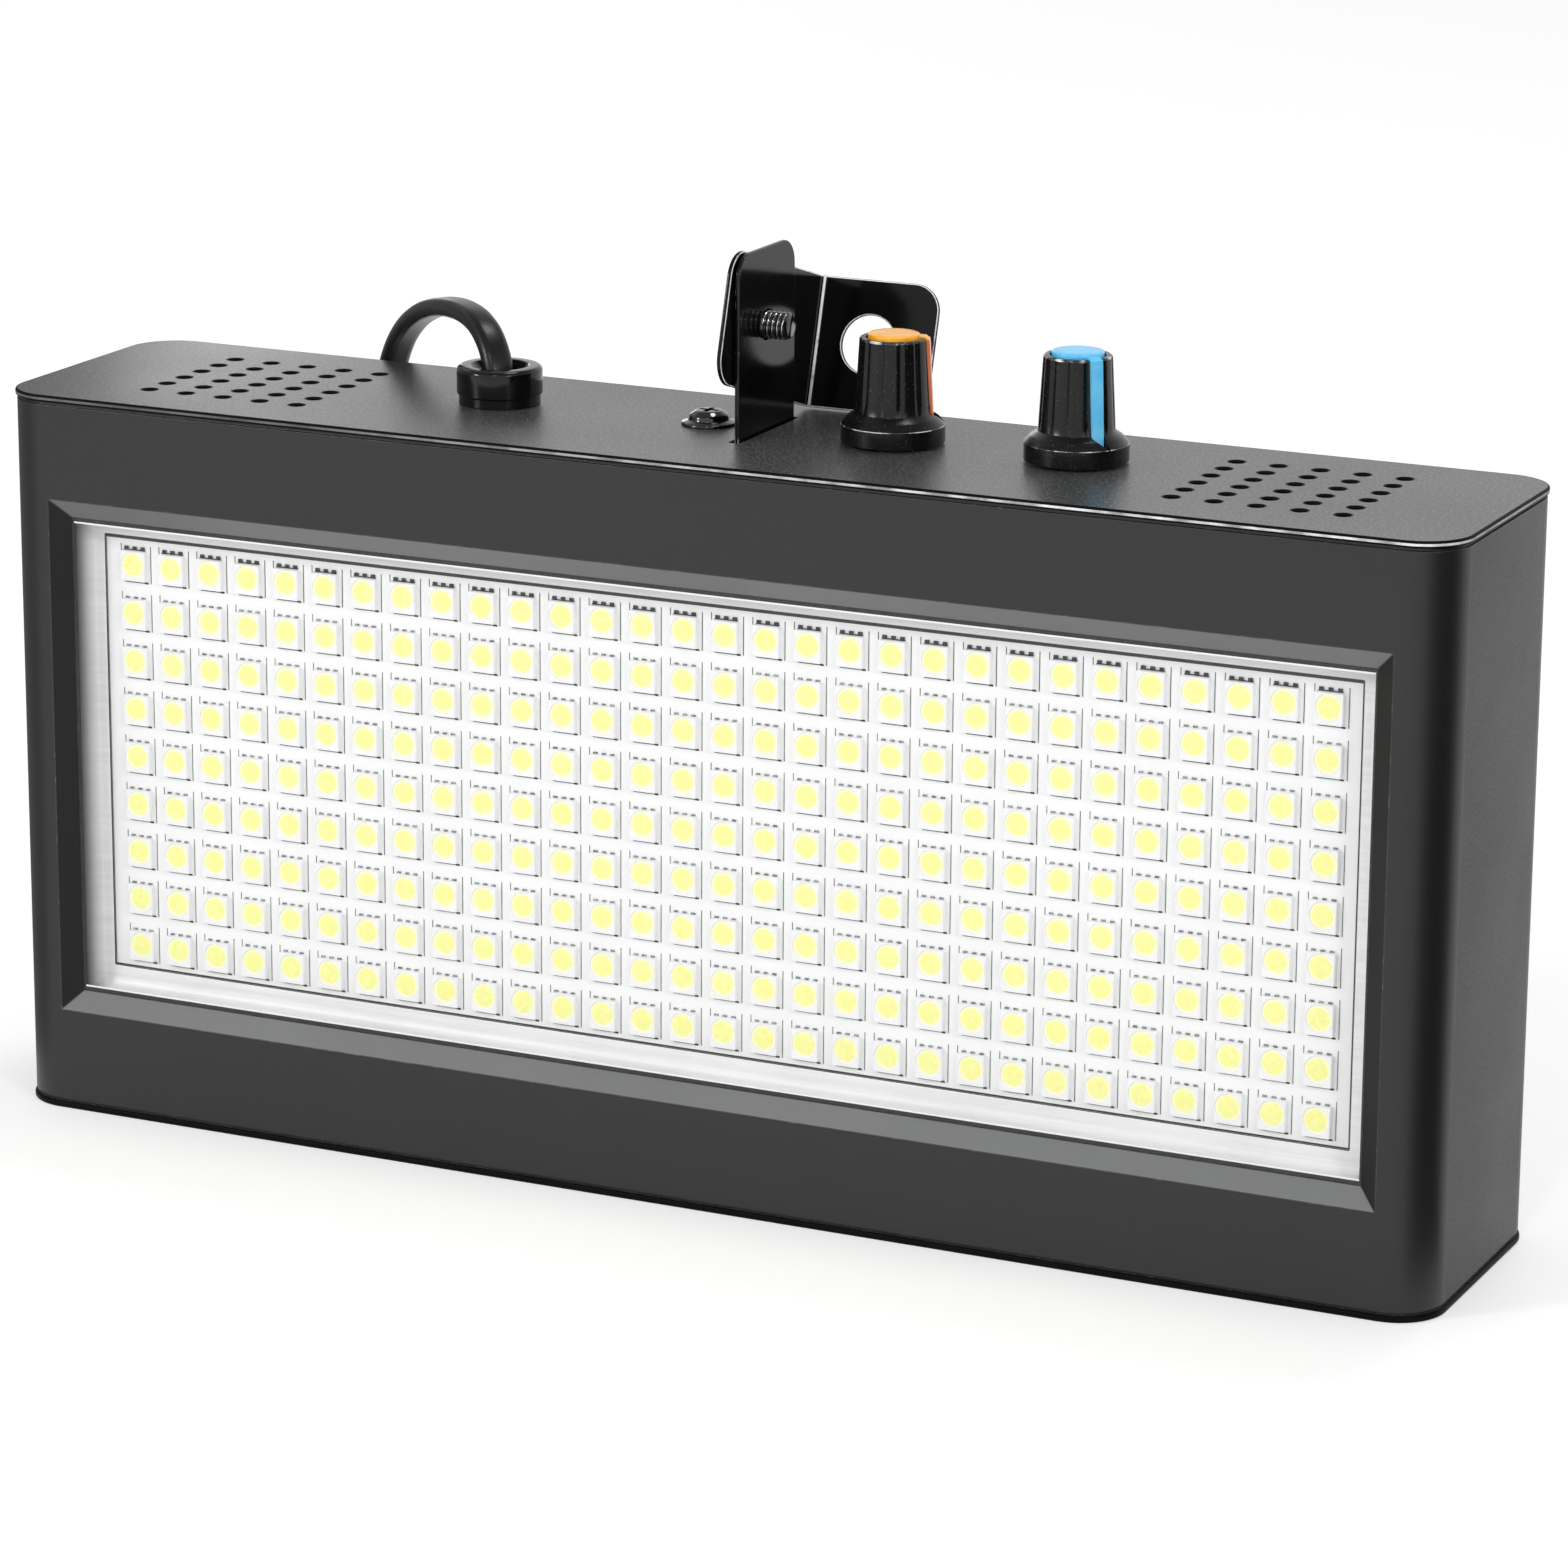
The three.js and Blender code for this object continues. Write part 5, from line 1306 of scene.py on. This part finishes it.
def make_bracket():
    total = LEG_LENGTH + BEND_LENGTH + FLANGE_LENGTH
    half = BRACKET_WIDTH / 2
    foot = half + BRACKET_DROP
    corner = BRACKET_CORNER
    stops = [LEG_LENGTH + BEND_LENGTH * i / BEND_STEPS for i in range(BEND_STEPS + 1)]

    def outline(inset):
        size = corner - inset
        return [
            *quarter((total - corner, half - corner), size, 0),
            *((s, half - inset) for s in reversed(stops)),
            *quarter((corner, half - corner), size, 1),
            *quarter((corner, corner - foot), size, 2),
            *((s, inset - foot) for s in stops),
            *quarter((total - corner, corner - foot), size, 3),
        ]

    hole_s = LEG_LENGTH + BEND_LENGTH + BRACKET_HOLE_X - BEND_X
    shapes = [
        (outline, 1),
        (disc(BOLT_HOLE, (-LEG_FRONT, 0)), -1),
        (disc(BRACKET_HOLE_RADIUS, (hole_s, 0), 72), -1),
    ]
    sides = side_profile(-SHEET / 2, SHEET / 2, 0.25)
    # The two strips of each rounded edge nearest the sheet's inner face take the painted highlight
    edge_paints = [int(i > len(sides) - 4) for i in range(len(sides) - 1)]
    solid = Solid()
    rims = [solid.wall(shape, sign, sides, folded, edge_paints) for shape, sign in shapes]
    upper = CORNER_STEPS + 1
    lower = 3 * upper + BEND_STEPS + 1
    for end, (rim, bolt_rim, hole_rim) in enumerate(zip(*rims)):
        solid.fill([rim[upper + BEND_STEPS:lower + 1], bolt_rim])
        solid.fill([rim[lower + BEND_STEPS:] + rim[:upper + 1], hole_rim])
        for i in range(BEND_STEPS):
            # The middle of the fold's inner face is painted with a highlight
            bright = end == 1 and 2 <= i < BEND_STEPS - 3
            solid.face([rim[upper + i], rim[upper + i + 1],
                        rim[lower + BEND_STEPS - i - 1], rim[lower + BEND_STEPS - i]], int(bright))
    lean = Matrix.Translation((0, FITTINGS_Y, PIVOT_Z)) @ Matrix.Rotation(LEAN, 4, "X")
    add_piece("hanging_sheet", solid.moved(lean), ["sheet_black", "sheet_edge_painted_highlight"], "bracket_paint",
              "swing_bracket", body="hanging_bracket")


make_ear()
make_ear_screw()
make_bolt()
make_bracket()


# Grommet
def make_grommet():
    profile = rounded([
        (3.6, -9, 0), (5.6, -9, 0.3), (5.6, 0, 0), (7.05, 0.0, 0.15), (7.0, 1.7, 0.2), (7.4, 1.75, 0.25),
        (7.4, 6.6, 0.9), (5.0, 6.6, 0.5), (4.0, 5.4, 0.5), (3.6, 3.4, 0.4), (3.6, -9, 0),
    ], 5)
    solid = turned(profile, about(GROMMET_X, FITTINGS_Y, TOP_Z))
    add_piece("cord_grommet", solid, ["ring_black"], "grommet_plastic", "grommet")


# Knobs
def knob_swell(angle, height, radius):
    """Shallow flutes on the knob's grip."""
    if height < KNOB_FOOT_HEIGHT - 0.01 or radius < KNOB_TOP_RADIUS - 0.7:
        return 0.0
    fade = smoothstep(height, KNOB_FOOT_HEIGHT, KNOB_FOOT_HEIGHT + 0.8)
    away = abs((angle * KNOB_FLUTES / (2 * math.pi)) % 1.0 - 0.5)
    return -FLUTE_DEPTH * (1 - smoothstep(away, 0.0, FLUTE_SHARE)) * fade


def pointer_bar(inward, outward, width, reach=0.1):
    """A bar over the knob's top and down its side, to a slanted end in its skirt."""
    top = KNOB_HEIGHT
    solid = Solid()
    rings = []
    foot = KNOB_FOOT_RADIUS + outward
    for y, end in zip((-width / 2, width / 2), POINTER_TIPS):
        side = [
            (CAP_RADIUS / 2, top + outward), (KNOB_TOP_RADIUS - 0.5, top + outward),
            (KNOB_TOP_RADIUS + outward * 0.7, top - 0.4 + outward * 0.7),
            (KNOB_TOP_RADIUS + outward + 0.02, top - 0.9),
            (foot, KNOB_FOOT_HEIGHT), (foot + reach, end), (KNOB_FOOT_RADIUS - inward, end),
            (KNOB_TOP_RADIUS - inward, top - inward), (CAP_RADIUS / 2, top - inward),
        ]
        rings.append(solid.ring([(r, y, z) for r, z in side]))
    solid.strip(*rings)
    for ring in rings:
        solid.face([ring[i] for i in (0, 1, 2, 7, 8)])
        solid.face(ring[2:8])
    return solid


def knob_grip():
    grip = [(KNOB_FOOT_RADIUS, KNOB_FOOT_HEIGHT)]
    for i in range(1, 9):
        share = i / 8
        grip.append((
            KNOB_FOOT_RADIUS + (KNOB_TOP_RADIUS - KNOB_FOOT_RADIUS) * share,
            KNOB_FOOT_HEIGHT + 0.25 + (KNOB_HEIGHT - 0.75 - KNOB_FOOT_HEIGHT) * share,
        ))
    lower = rounded([
        (SHAFT_RADIUS, 4.7, 0), (4.4, 4.7, 0.2), (6.9, 2.7, 0.2), (6.9, SKIRT_FOOT, 0),
        (SKIRT_RADIUS, SKIRT_FOOT, 0.2), (SKIRT_RADIUS, 3.4, 0.22), (7.7, 4.6, 1.0),
        (KNOB_FOOT_RADIUS + 0.1, 5.35, 0.15), (KNOB_FOOT_RADIUS, KNOB_FOOT_HEIGHT, 0),
    ])
    top = rounded([
        (KNOB_TOP_RADIUS, KNOB_HEIGHT - 0.5, 0), (KNOB_TOP_RADIUS - 0.02, KNOB_HEIGHT, 0.4),
        (RECESS_RADIUS, KNOB_HEIGHT, 0.15), (RECESS_RADIUS, RECESS_FLOOR, 0), (0, RECESS_FLOOR, 0),
        (0, SHAFT_TOP, 0), (SHAFT_RADIUS, SHAFT_TOP, 0),
    ])
    profile = lower[:-1] + grip + top
    profile.append(profile[0])
    profile = [(r, z) for i, (r, z) in enumerate(profile) if i == 0 or (r, z) != profile[i - 1]]
    return turned(profile, steps=KNOB_FLUTES * 12, swell=knob_swell)


def on_knob_rim(spots):
    """On the rounded rims of the grip's top and of the skirt, which take painted glints."""
    away = min(math.hypot(p.x, p.y) for p in spots)
    low, high = min(p.z for p in spots), max(p.z for p in spots)
    on_skirt = away > SKIRT_RADIUS - 0.25 and low > 3.1 and high < 3.7
    return on_skirt or (away > 5.2 and low > KNOB_HEIGHT - 0.45)


def knob_cap():
    disc_profile = rounded([
        (0, 17.1, 0), (CAP_RADIUS, 17.1, 0), (CAP_RADIUS, 18.6, 0.3), (CAP_RADIUS - 0.9, 18.72, 0.6),
        (0, 18.8, 0),
    ])
    cap = turned(disc_profile, steps=72)
    solid = combined(cap, [pointer_bar(0.7, POINTER_PROUD, POINTER_WIDTH)], "UNION")

    # The strip's side below the top, which on the orange knob is painted darker as painted shade
    def on_strip(spots):
        low = min(p.z for p in spots) < KNOB_HEIGHT - 2
        return low and min(math.hypot(p.x, p.y) for p in spots) > KNOB_TOP_RADIUS - 0.8

    return repainted(solid, on_strip)


def make_knobs():
    for name, colour, x, pointer in KNOBS:
        place = Matrix.Translation((x, FITTINGS_Y, TOP_Z)) @ Matrix.Rotation(math.radians(pointer), 4, "Z")
        groove = pointer_bar(1.0, 1.0, POINTER_WIDTH + POINTER_PLAY, 2.6)
        grip = repainted(combined(knob_grip(), [groove]), on_knob_rim).moved(place)
        body = f"{name}_control"
        add_piece(f"{name}_grip", grip, ["knob_black_with_painted_glints", "knob_rim_painted_glint"], "knob_plastic", f"{name}_knob",
                  body=body, crease=40)
        cap = f"{colour}_cap"
        add_piece(f"{name}_pointer_cap", knob_cap().moved(place), [cap, f"{colour}_strip", cap], cap,
                  f"{name}_knob_cap", body=body, bevel=0.16, crease=34)


make_grommet()
make_knobs()


# What is hidden keeps its CAD shape
HIDDEN_PAINTS = {
    "steel": ("board_screw", "speed_pot_nut", "mode_pot_nut", "speed_shaft", "mode_shaft"),
    "part_black": ("speed_pot", "mode_pot", "grommet_nut", "smoothing_capacitor", "driver_chip"),
    "green_board": ("control_board", "terminal_block"),
    "nylon": ("board_standoff",),
    "aluminium": ("heat_sink",),
    "cord_black": ("inner_lead",),
}


def paint_cad_nodes():
    """Each hidden node gets the paint of the longest kind that its name starts with."""
    kinds = {kind: paint for paint, group in HIDDEN_PAINTS.items() for kind in group}
    for name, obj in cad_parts.items():
        found = [kind for kind in kinds if name.startswith(kind)]
        if found and not obj.hide_render:
            for place in obj.material_slots:
                place.material = paints[kinds[max(found, key=len)]]


paint_cad_nodes()


# Floor, world and lights. The floor's lift is a faint glow that keeps it pale to the camera.
def seen_directly(nodes):
    """1 for a ray that the camera, a gloss or a clear piece sends, else 0."""
    path = nodes.node("ShaderNodeLightPath").outputs
    either = nodes.maths("MAXIMUM", path["Is Camera Ray"], path["Is Glossy Ray"])
    return nodes.maths("MAXIMUM", either, path["Is Transmission Ray"])


FLOOR_TONE = 0.8
FLOOR_LIFT = 0.36
CEILING = 0.35
CEILING_FROM = 0.45
CEILING_TO = 0.75
CARD_STEPS = 24
CARDS = (("right_card", 1, 40, 118, 0.0), ("left_card", -1, 50, 150, 0.35))
CARD_PROFILE = ((30, 0.4), (350, 0.4), (420, 400))
FLOOR_HALF = 6.0
LIGHTS = (
    ("key", (-1.2, -1.35, 0.85), 0.4, 9.5),
    ("fill", (1.4, -1.0, 0.9), 0.3, 5.5),
    ("spark", (0.3, -1.5, 1.5), 0.16, 3),
    ("top", (0.1, 0.5, 1.7), 0.4, 5),
    ("rim", (-1.25, 1.55, 0.5), 0.5, 1.2),
)


def make_floor():
    corners = ((-1, -1), (1, -1), (1, 1), (-1, 1))
    mesh = bpy.data.meshes.new("floor")
    mesh.from_pydata([(FLOOR_HALF * x, FLOOR_HALF * y, 0) for x, y in corners], [], [(0, 1, 2, 3)])
    material = bpy.data.materials.new("floor_white")
    material.use_nodes = True
    material.node_tree.nodes.clear()
    nodes = Nodes(material.node_tree)
    diffuse = nodes.node("ShaderNodeBsdfDiffuse", {"Color": (FLOOR_TONE, FLOOR_TONE, FLOOR_TONE, 1)})
    lift = nodes.maths("MULTIPLY", seen_directly(nodes), FLOOR_LIFT)
    glow = nodes.node("ShaderNodeEmission", {"Strength": lift})
    both = nodes.node("ShaderNodeAddShader", {0: diffuse.outputs[0], 1: glow.outputs[0]})
    nodes.node("ShaderNodeOutputMaterial", {0: both.outputs[0]})
    mesh.materials.append(material)
    linked("floor", mesh)


def make_world():
    """White all round and greyer overhead. The camera sees it white."""
    world = bpy.data.worlds.new("studio")
    bpy.context.scene.world = world
    world.use_nodes = True
    nodes = Nodes(world.node_tree)
    place = nodes.node("ShaderNodeTexCoord").outputs["Generated"]
    height = nodes.node("ShaderNodeSeparateXYZ", {0: place}).outputs["Z"]
    shade = nodes.spread(height, 1.0, CEILING, CEILING_FROM, CEILING_TO)
    camera_ray = nodes.node("ShaderNodeLightPath").outputs["Is Camera Ray"]
    background = world.node_tree.nodes["Background"].inputs
    nodes.feed(background["Color"], (1, 1, 1, 1))
    nodes.feed(background["Strength"], nodes.maths("MAXIMUM", shade, camera_ray))


def make_card(name, side, start, end, glow):
    """A card on the floor and standing, which only gloss shows. It darkens a rounded front corner."""
    centre = (side * (CASE_WIDTH / 2 - CASE_RADIUS), -CASE_DEPTH / 2 + CASE_RADIUS)
    solid = Solid()
    angles = [side * math.radians(start + (end - start) * i / CARD_STEPS) for i in range(CARD_STEPS + 1)]
    rings = [
        solid.ring([
            (centre[0] + radius * math.sin(a), centre[1] - radius * math.cos(a), height) for a in angles
        ])
        for radius, height in CARD_PROFILE
    ]
    faces = [
        (a[i], a[i + 1], b[i + 1], b[i])
        for a, b in zip(rings, rings[1:])
        for i in range(CARD_STEPS)
    ]
    mesh = bpy.data.meshes.new(name)
    mesh.from_pydata([point * MM for point in solid.points], [], faces)
    paint = Paint(name)
    paint.put(
        Base_Color=tone(0),
        Specular_IOR_Level=0.0,
        Emission_Color=(1, 1, 1, 1),
        Emission_Strength=glow,
    )
    mesh.materials.append(paint.material)
    card = linked(name, mesh)
    card.visible_camera = False
    card.visible_diffuse = False
    card.visible_shadow = False
    card.visible_transmission = False


def add_light(name, place, size, power):
    data = bpy.data.lights.new(name, "AREA")
    data.shape = "DISK"
    data.size = size
    data.energy = power
    light = linked(name, data)
    light.location = place
    aim = Vector((0, 0, MIDDLE_Z * MM)) - light.location
    light.rotation_euler = aim.to_track_quat("-Z", "Y").to_euler()


make_floor()
make_world()
for card in CARDS:
    make_card(*card)
for light in LIGHTS:
    add_light(*light)

bpy.context.scene.view_settings.view_transform = "Standard"
